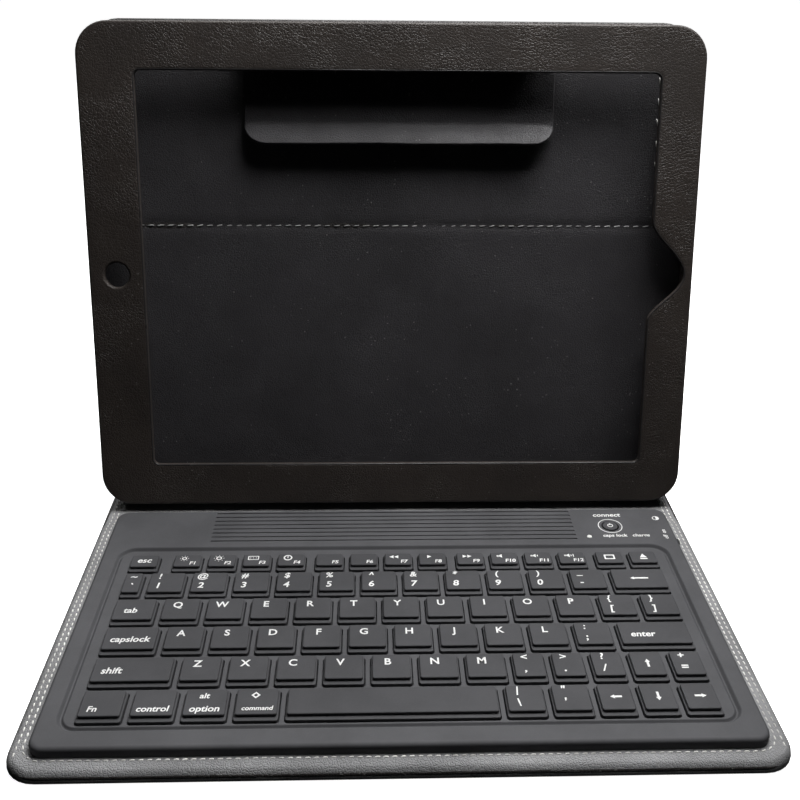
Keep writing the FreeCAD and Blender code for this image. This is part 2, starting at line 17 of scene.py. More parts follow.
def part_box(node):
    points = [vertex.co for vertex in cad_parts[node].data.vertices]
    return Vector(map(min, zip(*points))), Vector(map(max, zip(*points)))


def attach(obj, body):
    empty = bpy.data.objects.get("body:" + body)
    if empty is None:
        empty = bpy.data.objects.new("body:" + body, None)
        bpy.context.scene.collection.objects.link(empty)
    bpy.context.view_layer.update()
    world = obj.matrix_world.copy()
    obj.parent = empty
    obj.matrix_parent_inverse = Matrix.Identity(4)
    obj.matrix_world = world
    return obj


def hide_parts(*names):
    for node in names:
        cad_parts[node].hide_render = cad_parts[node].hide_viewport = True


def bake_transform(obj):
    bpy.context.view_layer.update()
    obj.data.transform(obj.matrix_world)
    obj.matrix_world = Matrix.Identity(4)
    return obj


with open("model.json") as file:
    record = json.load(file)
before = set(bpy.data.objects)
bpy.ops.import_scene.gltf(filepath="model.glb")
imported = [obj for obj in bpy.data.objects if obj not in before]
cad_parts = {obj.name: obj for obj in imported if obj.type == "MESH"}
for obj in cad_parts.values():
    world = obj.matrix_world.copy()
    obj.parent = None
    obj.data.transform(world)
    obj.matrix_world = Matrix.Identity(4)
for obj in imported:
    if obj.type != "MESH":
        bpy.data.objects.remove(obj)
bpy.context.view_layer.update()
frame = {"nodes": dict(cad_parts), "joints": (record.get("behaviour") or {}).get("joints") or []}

MM = 0.001
MATERIALS = {}
RANDOM = random.Random(11)

# Stitches: half the width of a dash and its height, and for each seam its pitch and the length of a dash.
STITCH_HALF_WIDTH = 0.26
STITCH_HEIGHT = 0.24
COVER_SEAM = (2.7, 2.1)
FOLD_SEAM = (4.1, 3.0)
SIDE_SEAM = (8.4, 3.4)

# The cover: its thickness and corners, and its folds, where it is only leather.
PANEL = 2.8
COVER_CORNER = 11.0
COVER_SEAM_INSET = 2.8
CREASE_THINNING = 0.62
HINGE_CREASE_REACH = 4.4
FOLD_CREASE_REACH = 3.2
FOLD_LEAD = 1.5
FOLD_CLEARANCE = 0.25
PROP_END_GAP = 1.6
HINGE_LINES = (-0.3, 0, 0.2, 0.4, 0.6, 0.8, 1, 1.3)
FOLD_LINES = (1.7, 2.2, 2.7, 3.2)
# Where a sheet starts and ends its bend, as Y and Z from the joint's axis.
HINGE_BLEND = ((-0.6, -2.9), (2.7, 1.4))
FOLD_BLEND = ((2.0, -1.6), (2.0, 1.6))

# The base's border: its overhang, its stitch rows, and its padding, which slopes down towards the edges.
BORDER_WRAP = 0.15
BORDER_THICKNESS = 2.7
BORDER_ROUNDING = 2.3
BORDER_REAR_GAP = 1.4
BORDER_RISE = 1.7
BORDER_SLOPE = 1.5
BORDER_SLOPE_WIDTH = 5.5
PADDING_END = 141.0
PADDING_FADE = 10.0
ROW_SIDE_INSET = 5.1
ROW_FRONT_INSET = 4.9
ROW_CORNER = 7.0
OUTER_ROW_INSET = 3.1
DIMPLE_DEPTH = 0.14
DIMPLE_REACH = 0.8
LINING_INSET = 1.7

# The pocket's front frame and what shows through it.
WINDOW = (-102.6, 107.0, 18.0, 179.6)
WINDOW_CORNER = 2.5
NOTCH_DEPTH = 14.3
NOTCH_BELOW = 19.0
NOTCH_ABOVE = 22.0
NOTCH_FULLNESS = 0.85
RIM_RADIUS = 0.42
RIM_RELIEF = 0.75
CAMERA_HOLE_X = -113.7
CAMERA_HOLE_RADIUS = 5.0
MIDDLE_HEIGHT = 99.0
FRAME_THICKNESS = 2.2
CAVITY_BACK = 13.1
POCKET_TOP_CORNER = 13.0
POCKET_BOTTOM_CORNER = 13.0
POCKET_HEIGHT = 198.0
STRIP_INSET = 0.6
STRIP_BOW = 0.5
STRIP_THICKNESS = 1.0
BACK_INSET = 1.9
FOLD_LINE = 118.5
CREASE_DEPTH = 0.45
CREASE_REACH = 1.5
SIDE_SEAM_X = 110
SIDE_SEAM_ENDS = (140, 178)
BACK_PANEL_INSET = 0.2
BACK_PANEL_THICKNESS = 1.55
BACK_PANEL_FACE = 2.05

# The tuck flap: a strip over the mouth, a bend, a tongue, and the band that flares at its end.
FLAP_START = (2.5, POCKET_HEIGHT - 1.8)
FLAP_STRIP = 6.4
FLAP_BEND = 2.4
FLAP_LENGTH = 53.0
FLAP_BAND = 9.5
FLAP_FLARE = 36
FLAP_CURL = 10
FLAP_CORNER = 9.0
FLAP_THICKNESS = 1.4

# The keyboard. Heights are above the table, and places are from the base's middle and front edge.
SHELL_CORNER = 5.0
DECK_TOP = 8.2
WELL_FLOOR = 7.6
SHELL_BOTTOM = 2.7
BLIND_HOLE = 4.9
WELL_HALF_WIDTH = 109.4
WELL = (14.6, 111.6)
WELL_CORNER = 6.0
WELL_LIP = 1.3
DECK_EDGE = 1.5
RIBS = 8
RIB_PITCH = 2.9
FIRST_RIB = 116.6
RIB_HALF_WIDTH = 75.0
RIB_HALF = 0.6
RIB_DEPTH = 0.45
RIB_EDGE = 0.22
RIB_CORNER = 0.55
HOLE_EDGE = 0.2
KEY_HOLE_EDGE = 0.18
KEY_HOLE_CORNER = 1.2
KEY_CLEARANCE = 0.3
CONNECT = (90.6, 125.7)
CONNECT_HOLE = 3.6
CONNECT_RING = (5.1, 4.75)
LIGHT = (80.4, 118.1)
LIGHT_HOLE = 1.1
CHARGE_MARK = (111.2, 131.3)
SWITCH_WORDS = (112.2, 119.5)
# The section of the well's rim, from the deck through a channel to the floor: how far out and how far down.
WELL_RIM = [(-WELL_LIP, 0.0), (-1.15, 0.06), (-0.85, 0.3), (-0.55, 0.85), (-0.3, 1.3), (0.0, 1.5),
            (0.3, 1.45), (0.6, 1.15), (0.85, 0.8), (1.05, 0.64), (WELL_LIP, 0.6)]

# A key: its cap stands back from its skirt. Each section gives how far out it lies, and its height.
SKIRT_SIDE = 0.5
SKIRT_FRONT = 1.6
SKIRT_CORNER = 0.9
CAP_CORNER = 0.8
KEY_TOP = 9.8
SKIRT_SECTION = ((0, 6.6), (0, 8.2), (-0.1, 8.45), (-0.35, 8.55))
CAP_SECTION = ((-0.3, 8.58), (-0.3, 8.85), (0, 8.95), (0, 9.5), (-0.08, 9.68), (-0.26, 9.78),
               (-0.5, KEY_TOP))
# The connect button's radius and height, from its foot to the middle of its dish.
BUTTON_SECTION = ((3.1, 5.6), (3.1, 8.2), (3.0, 8.38), (2.75, 8.44), (2.3, 8.42), (1.2, 8.4))

# Print: its height over the surface, and the places of marks from a cap's left and front edges.
INK = 0.02
SLANT = 0.12
LETTER_PLACE = (5.2, 7.8)
LETTER_SIZE = 4.4
PAIR_SLANT = 0.1
PAIR_PLACE = 3.6
NARROW_CAP = 8
UPPER_MARK = (9.3, 4.2)
LOWER_MARK = (3.6, 4.6)
ICON_SIZE = 2.5
ICON_PLACE = (3.8, 5.0)
NUMBER_INSET = (2.9, 1.9)
NUMBER_SIZE = 2.8

# The stage and the camera, in metres and radians.
STAGE_RADIUS = 9.0
DOME_STEPS = 12
CAMERA_FROM_FRONT = (-0.01088, -0.2234, 0.2429)
CAMERA_TURN = (0.036, 0.465, 0.013)
CAMERA_LENS = 45.07
AREA_LIGHTS = (
    ("overhead", (0.12, 0.08, 0.52), (0, 0.02, 0.05), 0.3, 4.0),
    ("behind", (-0.3, 0.9, 0.9), (0, 0, 0.1), 0.8, 7.0),
)


# ---- frames ----


def joint_place(name):
    """Where a joint's axis is, in metres."""
    return Vector(next(j for j in frame["joints"] if j["name"] == name)["pos_m"])


def box_mm(node):
    """A CAD node's corners in millimetres."""
    low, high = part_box(node)
    return low / MM, high / MM


def turned_low_corner(node, turn):
    """The lowest corner of a node in a turned frame."""
    back = turn.inverted()
    points = [back @ vertex.co for vertex in frame["nodes"][node].data.vertices]
    return Vector([min(point[axis] for point in points) for axis in range(3)])


HINGE = joint_place("case_fold")
FOLD = joint_place("pocket_fold")
TILT = math.atan2(HINGE.y - FOLD.y, FOLD.z - HINGE.z)
SCALE = Matrix.Scale(MM, 4)
BACK_TURN = Matrix.Rotation(-TILT, 4, "X")
FRONT = box_mm("base_outer_leather")[0].y
HALF_WIDTH = box_mm("base_outer_leather")[1].x
pocket_corner = turned_low_corner("frame_leather", BACK_TURN)
POCKET_HALF = -pocket_corner.x / MM
pocket_corner.x = 0
POCKET = Matrix.Translation(BACK_TURN @ pocket_corner) @ BACK_TURN @ SCALE
PROP = Matrix.Translation(HINGE) @ Matrix.Rotation(TILT, 4, "X") @ SCALE
PROP_LENGTH = (FOLD - HINGE).length / MM
BASE = SCALE
# The frame of a face: its first two axes lie in the face and the third points out of it.
FACING_FRONT = Matrix(((1, 0, 0, 0), (0, 0, -1, 0), (0, 1, 0, 0), (0, 0, 0, 1)))
POCKET_FACE = POCKET @ FACING_FRONT
POCKET_REAR_FACE = POCKET @ Matrix.Rotation(math.pi, 4, "Z") @ FACING_FRONT


def from_front(distance):
    """The Y, in millimetres, of a place that is so far behind the base's front edge."""
    return FRONT + distance


# ---- outlines ----


def resampled(loop, spacing):
    """A closed loop with points added on its long straight stretches."""
    points = []
    for (x0, y0), (x1, y1) in zip(loop, loop[1:] + loop[:1]):
        pieces = max(1, round(math.hypot(x1 - x0, y1 - y0) / spacing))
        points += [(x0 + (x1 - x0) * i / pieces, y0 + (y1 - y0) * i / pieces) for i in range(pieces)]
    return points


def arc(cx, cy, radius, start, sweep, steps):
    """Points on an arc, with angles in degrees."""
    angles = [math.radians(start + sweep * step / steps) for step in range(steps + 1)]
    return [(cx + radius * math.cos(a), cy + radius * math.sin(a)) for a in angles]


def rounded_outline(x0, x1, y0, y1, radii, spacing=4.0, steps=7):
    """A loop with round corners. The radii go round from the low left corner, and so does the loop."""
    if not isinstance(radii, tuple):
        radii = (radii,) * 4
    loop = []
    for (x, y, start), radius in zip(((x0, y0, 180), (x1, y0, 270), (x1, y1, 0), (x0, y1, 90)), radii):
        cx = x + radius if x == x0 else x - radius
        cy = y + radius if y == y0 else y - radius
        loop += arc(cx, cy, radius, start, 90, steps) if radius > 0 else [(x, y)]
    return resampled(loop, spacing)


def circle(cx, cy, radius, steps=32):
    """A round loop."""
    return arc(cx, cy, radius, 0, 360, steps)[:-1]


def window_outline():
    """The window with the bell-shaped bay beside the home button."""
    left, right, low, high = WINDOW
    loop = arc(left + WINDOW_CORNER, low + WINDOW_CORNER, WINDOW_CORNER, 180, 90, 6)
    loop += arc(right - WINDOW_CORNER, low + WINDOW_CORNER, WINDOW_CORNER, 270, 90, 6)
    steps = 26
    for step in range(steps + 1):
        along = 2 * step / steps - 1
        reach = NOTCH_ABOVE if along > 0 else NOTCH_BELOW
        depth = NOTCH_DEPTH * (0.5 + 0.5 * math.cos(math.pi * along)) ** NOTCH_FULLNESS
        loop.append((right + depth, MIDDLE_HEIGHT + reach * along))
    loop += arc(right - WINDOW_CORNER, high - WINDOW_CORNER, WINDOW_CORNER, 0, 90, 6)
    loop += arc(left + WINDOW_CORNER, high - WINDOW_CORNER, WINDOW_CORNER, 90, 90, 6)
    return resampled(loop, 3.0)


def offset(loop, distance):
    """The loop moved outwards, or inwards where the distance is negative."""
    points = np.array(loop, float)
    ahead = np.roll(points, -1, 0) - points
    ahead /= np.linalg.norm(ahead, axis=1)[:, None]
    outward = np.column_stack((ahead[:, 1], -ahead[:, 0]))
    normal = outward + np.roll(outward, 1, 0)
    normal /= np.linalg.norm(normal, axis=1)[:, None]
    stretch = np.clip((normal * outward).sum(1), 0.5, 1)
    return [tuple(point) for point in points + normal * (distance / stretch)[:, None]]


def inside(points, loop):
    """Which of the points lie inside a loop."""
    x, y = points[:, 0], points[:, 1]
    found = np.zeros(len(points), bool)
    for (x0, y0), (x1, y1) in zip(loop, loop[1:] + loop[:1]):
        if y0 == y1:
            continue
        crosses = (y0 > y) != (y1 > y)
        found ^= crosses & (x < (x1 - x0) * (y - y0) / (y1 - y0) + x0)
    return found


# ---- meshes ----


def fill(loops, spacing=None, lines=()):
    """Points and triangles between an outline, the first loop, and its holes. Lines are kept as edges."""
    points = [point for loop in loops for point in loop]
    edges = []
    start = 0
    for loop in loops:
        edges += [(start + i, start + (i + 1) % len(loop)) for i in range(len(loop))]
        start += len(loop)
    points += [point for line in lines for point in line]
    if spacing:
        outline = np.array(loops[0])
        low, high = outline.min(0), outline.max(0)
        columns = np.arange(low[0], high[0], spacing)
        rows = np.arange(low[1], high[1], spacing * 0.87)
        grid = np.array([(x + spacing / 2 * (i % 2), y) for i, y in enumerate(rows) for x in columns])
        grid = grid[inside(grid, loops[0])]
        for loop in loops[1:]:
            grid = grid[~inside(grid, loop)]
        known = np.array(points)
        clear = [np.hypot(*(known - point).T).min() > spacing * 0.5 for point in grid]
        points += [tuple(point) for point in grid[clear]]
    made = geometry.delaunay_2d_cdt([Vector(p) for p in points], edges, [], 0, 1e-6)
    verts = np.array([tuple(v) for v in made[0]])
    faces = np.array(made[2])
    middles = verts[faces].mean(1)
    wanted = inside(middles, loops[0])
    for loop in loops[1:]:
        wanted &= ~inside(middles, loop)
    return verts, faces[wanted]


def add_fill(mesh, filled, height):
    """Puts a filled area into the mesh at a height, which is a number or a function of x and y."""
    verts, faces = filled
    level = height if callable(height) else lambda x, y: height
    added = [mesh.verts.new((x, y, level(x, y))) for x, y in verts]
    for face in faces:
        mesh.faces.new([added[i] for i in face])


def add_rings(mesh, rings):
    """Joins closed rings of 3-D points, each with as many points as the next."""
    rows = [[mesh.verts.new(point) for point in ring] for ring in rings]
    for lower, upper in zip(rows, rows[1:]):
        for i in range(len(lower)):
            after = (i + 1) % len(lower)
            mesh.faces.new((lower[i], lower[after], upper[after], upper[i]))
    return rows


def add_solid(mesh, rings):
    """Joins closed rings and closes the two ends."""
    rows = add_rings(mesh, rings)
    mesh.faces.new(rows[0])
    mesh.faces.new(rows[-1])


def round_edge(radius, depth, steps=4):
    """How far out and how far down the wall lies, from a flat face over a round edge and down."""
    profile = []
    for step in range(steps + 1):
        angle = math.pi / 2 * step / steps
        profile.append((radius * math.sin(angle) - radius, radius - radius * math.cos(angle)))
    return profile + [(0.0, depth)]


def add_wall(mesh, loop, top, profile, side=1):
    """A wall that goes down from a face. Side is 1 round an outline and -1 in a hole."""
    rings = []
    for out, drop in profile:
        rings.append([(x, y, top(x, y, drop)) for x, y in offset(loop, out * side)])
    add_rings(mesh, rings)


def no_relief(x, y):
    """The relief of a flat face."""
    return 0.0


def add_plate(mesh, outline, holes, top, depth, edge, spacing=4.0, relief=no_relief, lines=()):
    """A closed plate with round upper edges and holes. Relief raises its top by a function of x and y."""
    profile = round_edge(edge, depth)

    def level(x, y, drop=0.0):
        return top - drop + relief(x, y) * (1 - drop / depth)

    flats = [offset(outline, -edge)] + [offset(hole, edge) for hole in holes]
    add_fill(mesh, fill(flats, spacing, lines), level)
    add_wall(mesh, outline, level, profile)
    for hole in holes:
        add_wall(mesh, hole, level, profile, -1)
    add_fill(mesh, fill([outline] + list(holes)), top - depth)


def add_sheet(mesh, outline, thickness, lines, low=no_relief, high=no_relief):
    """A closed sheet that can be bent: both faces are filled finely. Low and high are their reliefs."""
    edge = min(1.2, thickness * 0.45)
    flat = fill([offset(outline, -edge)], 4.0, lines)
    add_fill(mesh, flat, low)
    add_fill(mesh, flat, lambda x, y: thickness + high(x, y))
    profile = round_edge(edge, edge)[:-1]
    rings = []
    for out, drop in profile:
        level = thickness - drop
        rings.append([(x, y, level + high(x, y) * (1 - drop / edge)) for x, y in offset(outline, out)])
    for out, drop in reversed(profile):
        rings.append([(x, y, drop + low(x, y) * (1 - drop / edge)) for x, y in offset(outline, out)])
    add_rings(mesh, rings)


def linked(name, data):
    """A new object in the scene."""
    made = bpy.data.objects.new(name, data)
    bpy.context.scene.collection.objects.link(made)
    return made


def finished_mesh(name, mesh, material):
    """The working mesh as mesh data with a material."""
    data = bpy.data.meshes.new(name)
    mesh.to_mesh(data)
    mesh.free()
    data.materials.append(MATERIALS[material])
    return data


def piece(name, mesh, matrix, material, body, replaces=(), warp=None, sharp=50):
    """Makes the mesh a named object in the row frame, which rides on a body."""
    bmesh.ops.remove_doubles(mesh, verts=mesh.verts, dist=1e-4)
    if warp:
        for vertex in mesh.verts:
            vertex.co = warp(*vertex.co)
    mesh.transform(matrix)
    bmesh.ops.recalc_face_normals(mesh, faces=mesh.faces)
    data = finished_mesh(name, mesh, material)
    data.shade_smooth()
    data.set_sharp_from_angle(angle=math.radians(sharp))
    made = linked(name, data)
    weighted = made.modifiers.new("Weighted", "WEIGHTED_NORMAL")
    weighted.keep_sharp = True
    if body:
        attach(made, body)
    if replaces:
        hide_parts(*replaces)
    return made


def waves(size, height, seed=0.0):
    """A gentle unevenness, as a function of x and y."""
    return lambda x, y: height * noise.noise(Vector((x / size, y / size, seed)))


# ---- stitching ----


def walk(path, pitch):
    """Places and directions along a path at an even pitch."""
    places = []
    left = pitch / 2
    for (x0, y0), (x1, y1) in zip(path, path[1:]):
        length = math.hypot(x1 - x0, y1 - y0)
        while left <= length:
            share = left / length
            angle = math.atan2(y1 - y0, x1 - x0)
            places.append((x0 + (x1 - x0) * share, y0 + (y1 - y0) * share, angle))
            left += pitch
        left -= length
    return places


def add_stitch(mesh, x, y, angle, length, level):
    """One raised dash of thread, whose ends dip into the material."""
    rings = []
    for step in range(7):
        along = -1 + 2 * step / 6
        swell = math.sqrt(max(0.0, 1 - along**4))
        ahead = length / 2 * along
        ring = []
        for side in range(8):
            turn = 2 * math.pi * side / 8
            across = STITCH_HALF_WIDTH * swell * math.cos(turn)
            lift = STITCH_HEIGHT * (swell * math.sin(turn) - along * along)
            ring.append((x + ahead * math.cos(angle) - across * math.sin(angle),
                         y + ahead * math.sin(angle) + across * math.cos(angle), level + lift))
        rings.append(ring)
    add_solid(mesh, rings)


def stitching(name, paths, matrix, body, level, seam=COVER_SEAM, warp=None, thread="thread"):
    """Rows of slightly uneven and slanting stitches on a face, as one piece."""
    pitch, length = seam
    mesh = bmesh.new()
    for path in paths:
        for x, y, angle in walk(path, pitch):
            skew = math.radians(7 + RANDOM.uniform(-5, 5))
            add_stitch(mesh, x, y, angle + skew, length * RANDOM.uniform(0.9, 1.05), level)
    piece(name, mesh, matrix, thread, body, warp=warp)


# ---- materials ----

# The light colour of the painted glints on leather: specks that stand in for highlights on the grain.
PAINTED_GLINT_COLOUR = (0.3, 0.29, 0.28, 1)


def new_material(name, colour, roughness):
    """A material with a Principled shader, kept by name."""
    made = bpy.data.materials.new(name)
    made.use_nodes = True
    shader = made.node_tree.nodes["Principled BSDF"]
    shader.inputs["Base Color"].default_value = (*colour, 1)
    shader.inputs["Roughness"].default_value = roughness
    MATERIALS[name] = made
    return made.node_tree, shader


def add_node(tree, kind, inputs=None, **settings):
    """A node with its settings, and its inputs set or linked."""
    made = tree.nodes.new(kind)
    for key, value in settings.items():
        setattr(made, key, value)
    for key, value in (inputs or {}).items():
        if isinstance(value, bpy.types.NodeSocket):
            tree.links.new(value, made.inputs[key])
        else:
            made.inputs[key].default_value = value
    return made


def combined(tree, first, second, operation="MULTIPLY"):
    """The product of two values or sockets, or what another operation makes of them."""
    return add_node(tree, "ShaderNodeMath", {0: first, 1: second}, operation=operation).outputs[0]


def noise_node(tree, place, scale, detail=2.0, roughness=0.5):
    """A noise's value from 0 to 1."""
    inputs = {"Vector": place, "Scale": scale, "Detail": detail, "Roughness": roughness}
    return add_node(tree, "ShaderNodeTexNoise", inputs).outputs[0]


def stepped(tree, value, low, high, to_low=0.0, to_high=1.0):
    """The value mapped from one range to another, and kept inside it."""
    inputs = {"Value": value, "From Min": low, "From Max": high, "To Min": to_low, "To Max": to_high}
    return add_node(tree, "ShaderNodeMapRange", inputs, interpolation_type="SMOOTHSTEP").outputs[0]


def mixed(tree, share, first, second):
    """A colour between two colours."""
    return add_node(tree, "ShaderNodeMix", {0: share, 6: first, 7: second}, data_type="RGBA").outputs[2]


def tones(colour, tint):
    """A darker and a lighter colour, one on each side of a colour."""
    return (*(part / tint for part in colour), 1), (*(part * tint for part in colour), 1)


def leather(name, colour, grain=1.15, relief=0.12, glint_strength=0.5, roughness=0.45, tint=1.2, even=0.2):
    """Leather with patches of pebbled grain, wrinkles, slow changes of tone and a few light specks painted in
    as glints.
    """
    tree, shader = new_material(name, colour, roughness)
    place = add_node(tree, "ShaderNodeTexCoord").outputs["Object"]
    drift = add_node(tree, "ShaderNodeTexNoise", {"Vector": place, "Scale": 420.0, "Detail": 2.0}).outputs[1]
    moved = add_node(tree, "ShaderNodeVectorMath", {0: drift, 3: 0.0012}, operation="SCALE").outputs[0]
    place = add_node(tree, "ShaderNodeVectorMath", {0: place, 1: moved}, operation="ADD").outputs[0]
    cells = add_node(tree, "ShaderNodeTexVoronoi", {"Vector": place, "Scale": 1 / (grain * MM)},
                     feature="DISTANCE_TO_EDGE").outputs["Distance"]
    patches = stepped(tree, noise_node(tree, place, 42.0, 3.0), 0.44, 0.62, even, 1.0)
    pebbles = combined(tree, stepped(tree, cells, 0.0, 0.16), patches)
    wrinkles = combined(tree, noise_node(tree, place, 190.0, 5.0, 0.6), 1.3)
    fine = combined(tree, noise_node(tree, place, 2600.0, 2.0), 0.2)
    height = combined(tree, combined(tree, pebbles, wrinkles, "ADD"), fine, "ADD")
    bump = add_node(tree, "ShaderNodeBump", {"Strength": 0.9, "Distance": relief * MM, "Height": height})
    tree.links.new(bump.outputs[0], shader.inputs["Normal"])
    tone = noise_node(tree, place, 28.0, 4.0, 0.6)
    shade = mixed(tree, stepped(tree, tone, 0.3, 0.7), *tones(colour, tint))
    # Painted glints: small, rare cells of a fine pattern, in patches, are mixed towards a light colour as
    # highlights on the grain.
    glint_cells = add_node(tree, "ShaderNodeTexVoronoi", {"Vector": place, "Scale": 700.0})
    small = stepped(tree, glint_cells.outputs["Distance"], 0.26, 0.12)
    chosen = add_node(tree, "ShaderNodeSeparateColor", {0: glint_cells.outputs["Color"]}).outputs[0]
    rare = stepped(tree, chosen, 0.8, 0.85)
    patch = stepped(tree, noise_node(tree, place, 60.0, 2.0), 0.5, 0.62)
    share = combined(tree, combined(tree, small, combined(tree, rare, patch)), glint_strength)
    tree.links.new(mixed(tree, share, shade, PAINTED_GLINT_COLOUR), shader.inputs["Base Color"])
    gloss = stepped(tree, tone, 0.2, 0.8, roughness + 0.08, roughness - 0.08)
    tree.links.new(gloss, shader.inputs["Roughness"])
    shader.inputs["Specular IOR Level"].default_value = 0.35


def fine_material(name, colour, roughness, scale, relief, tint=1.12, metallic=0.0, specular=0.4):
    """A moulded, printed or metal surface: a fine tooth and a slow change of tone."""
    tree, shader = new_material(name, colour, roughness)
    place = add_node(tree, "ShaderNodeTexCoord").outputs["Object"]
    tooth = noise_node(tree, place, scale, 3.0, 0.6)
    bump = add_node(tree, "ShaderNodeBump", {"Strength": 0.6, "Distance": relief * MM, "Height": tooth})
    tree.links.new(bump.outputs[0], shader.inputs["Normal"])
    tone = stepped(tree, noise_node(tree, place, 35.0, 4.0, 0.6), 0.3, 0.7)
    tree.links.new(mixed(tree, tone, *tones(colour, tint)), shader.inputs["Base Color"])
    worn = stepped(tree, tooth, 0.3, 0.7, roughness - 0.05, roughness + 0.05)
    tree.links.new(worn, shader.inputs["Roughness"])
    shader.inputs["Metallic"].default_value = metallic
    shader.inputs["Specular IOR Level"].default_value = specular


def make_materials():
    """Every material of the case."""
    # Some leathers get their own strength of painted glints, from none on the edge paint to the most on the
    # lining.
    leather("cover_leather", (0.034, 0.031, 0.03), relief=0.18, even=0.6)
    leather("frame_leather", (0.04, 0.033, 0.029), even=0.5)
    leather("border_leather", (0.26, 0.26, 0.264), grain=1.0, relief=0.16, glint_strength=0.1, roughness=0.65,
            even=0.8)
    leather("lining", (0.04, 0.038, 0.041), grain=0.9, relief=0.09, glint_strength=0.6, roughness=0.5, even=0.7)
    leather("edge_paint", (0.03, 0.028, 0.028), relief=0.02, glint_strength=0.0, roughness=0.28)
    fine_material("silicone", (0.08, 0.08, 0.085), 0.66, 1500.0, 0.03, specular=0.2)
    fine_material("key_silicone", (0.062, 0.062, 0.066), 0.66, 1500.0, 0.03, specular=0.2)
    fine_material("thread", (0.72, 0.71, 0.68), 0.8, 700.0, 0.08, 1.6)
    fine_material("lining_thread", (0.34, 0.34, 0.33), 0.8, 700.0, 0.08, 1.4)
    fine_material("print", (0.78, 0.78, 0.77), 0.6, 3000.0, 0.01, 1.06)
    fine_material("greyboard", (0.3, 0.28, 0.25), 0.9, 700.0, 0.1)
    fine_material("black_plastic", (0.02, 0.02, 0.021), 0.45, 1800.0, 0.02)
    fine_material("steel", (0.55, 0.56, 0.57), 0.35, 900.0, 0.01, 1.05, 1.0)
    fine_material("film", (0.6, 0.58, 0.5), 0.4, 600.0, 0.02)
    fine_material("circuit", (0.02, 0.09, 0.05), 0.4, 900.0, 0.03, 1.3)
    fine_material("foil", (0.5, 0.51, 0.53), 0.45, 400.0, 0.08, 1.1, 0.8)
    fine_material("lens", (0.75, 0.75, 0.72), 0.25, 900.0, 0.01, 1.05)
    fine_material("adhesive", (0.5, 0.48, 0.42), 0.8, 900.0, 0.05)


# The CAD nodes that stay, by material.
CAD_FINISH = {
    "greyboard": ("base_board", "spine_board", "prop_board", "upper_back_board"),
    "adhesive": ("adhesive_pad",),
    "black_plastic": ("keyboard_tray", "wireless_chip", "power_switch_slider"),
    "steel": ("backing_plate", "connect_switch", "power_switch_body", "charging_socket"),
    "film": ("membrane_circuit",),
    "circuit": ("controller_board",),
    "foil": ("battery_cell",),
    "lens": ("status_led", "status_lens"),
}


def finish_cad_node(kept, material):
    """Gives a CAD node its material, and softens its edges."""
    kept.data.materials.clear()
    kept.data.materials.append(MATERIALS[material])
    weld = kept.modifiers.new("Weld", "WELD")
    weld.merge_threshold = 1e-6
    bevel = kept.modifiers.new("Bevel", "BEVEL")
    bevel.width = 0.08 * MM
    bevel.segments = 2
    bevel.limit_method = "ANGLE"
    kept.modifiers.new("Weighted", "WEIGHTED_NORMAL")


# ---- cover ----


def bent_path(start, heading, turns, length):
    """A path in the YZ plane that turns over given stretches, as a function to places on and over it."""
    step = 0.1
    distances = np.arange(0, length + step, step)
    angles = np.full(len(distances), math.radians(heading))
    for first, last, degrees in turns:
        angles += math.radians(degrees) * np.clip((distances - first) / (last - first), 0, 1)
    middles = (angles[:-1] + angles[1:]) / 2
    y = start[0] + np.concatenate(([0], np.cumsum(np.cos(middles)))) * step
    z = start[1] + np.concatenate(([0], np.cumsum(np.sin(middles)))) * step

    def at(x, distance, height):
        angle = np.interp(distance, distances, angles)
        place_y = np.interp(distance, distances, y) - height * math.sin(angle)
        place_z = np.interp(distance, distances, z) + height * math.cos(angle)
        return Vector((x, place_y, place_z))

    return at


def thinned(at, creases):
    """A path whose sheet is only leather near its creases, where no board stiffens it."""

    def place(x, distance, height):
        for middle, reach in creases:
            near = max(0.0, 1 - abs(distance - middle) / reach)
            height *= 1 - CREASE_THINNING * min(1.0, near * 2.5)
        return at(x, distance, height)

    return place


def mirrored_height(at):
    """The same path with heights measured out of the sheet's outer side."""
    return lambda x, distance, height: at(x, distance, -height)


def lines_across(distances):
    """Lines across a cover sheet at the given distances along it."""
    return [[(x, distance) for x in range(-120, 121, 4)] for distance in distances]


def blend_points(axis, offsets):
    """The two points between which a sheet bends, from their offsets from a joint's axis."""
    return [(0, axis.y + y * MM, axis.z + z * MM) for y, z in offsets]


def lower_cover():
    """The leather of the base, the spine and the prop as one sheet round its boards."""
    hinge_y, hinge_z = HINGE.y / MM, HINGE.z / MM
    bend_start = hinge_y - FRONT
    bend = math.radians(90) + TILT
    bend_end = bend_start + hinge_z * bend
    length = bend_end + PROP_LENGTH - PROP_END_GAP
    at = bent_path((FRONT, 0.0), 0.0, [(bend_start, bend_end, math.degrees(bend))], length + 4)
    at = thinned(at, [((bend_start + bend_end) / 2, HINGE_CREASE_REACH)])
    mesh = bmesh.new()
    outline = rounded_outline(-HALF_WIDTH, HALF_WIDTH, 0, length, (COVER_CORNER, COVER_CORNER, 0, 0), 3.0)
    lines = lines_across([bend_start + share * (bend_end - bend_start) for share in HINGE_LINES])
    add_sheet(mesh, outline, PANEL - 0.1, lines, high=waves(24, 0.12, 2.0))
    cover = piece("cover_base_and_prop", mesh, BASE, "cover_leather", None,
                  ["base_outer_leather", "prop_outer_leather"], at)
    start, end = blend_points(HINGE, HINGE_BLEND)
    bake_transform(cover)
    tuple(start)
    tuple(end)
    edge = HALF_WIDTH - COVER_SEAM_INSET
    rows = [[(side * edge, bend_end + 3), (side * edge, length - 2)] for side in (-1, 1)]
    rows.append([(-edge, length - 3.2), (edge, length - 3.2)])
    stitching("prop_edge_stitches", rows, BASE, "prop_panel", 0.0, warp=mirrored_height(at))


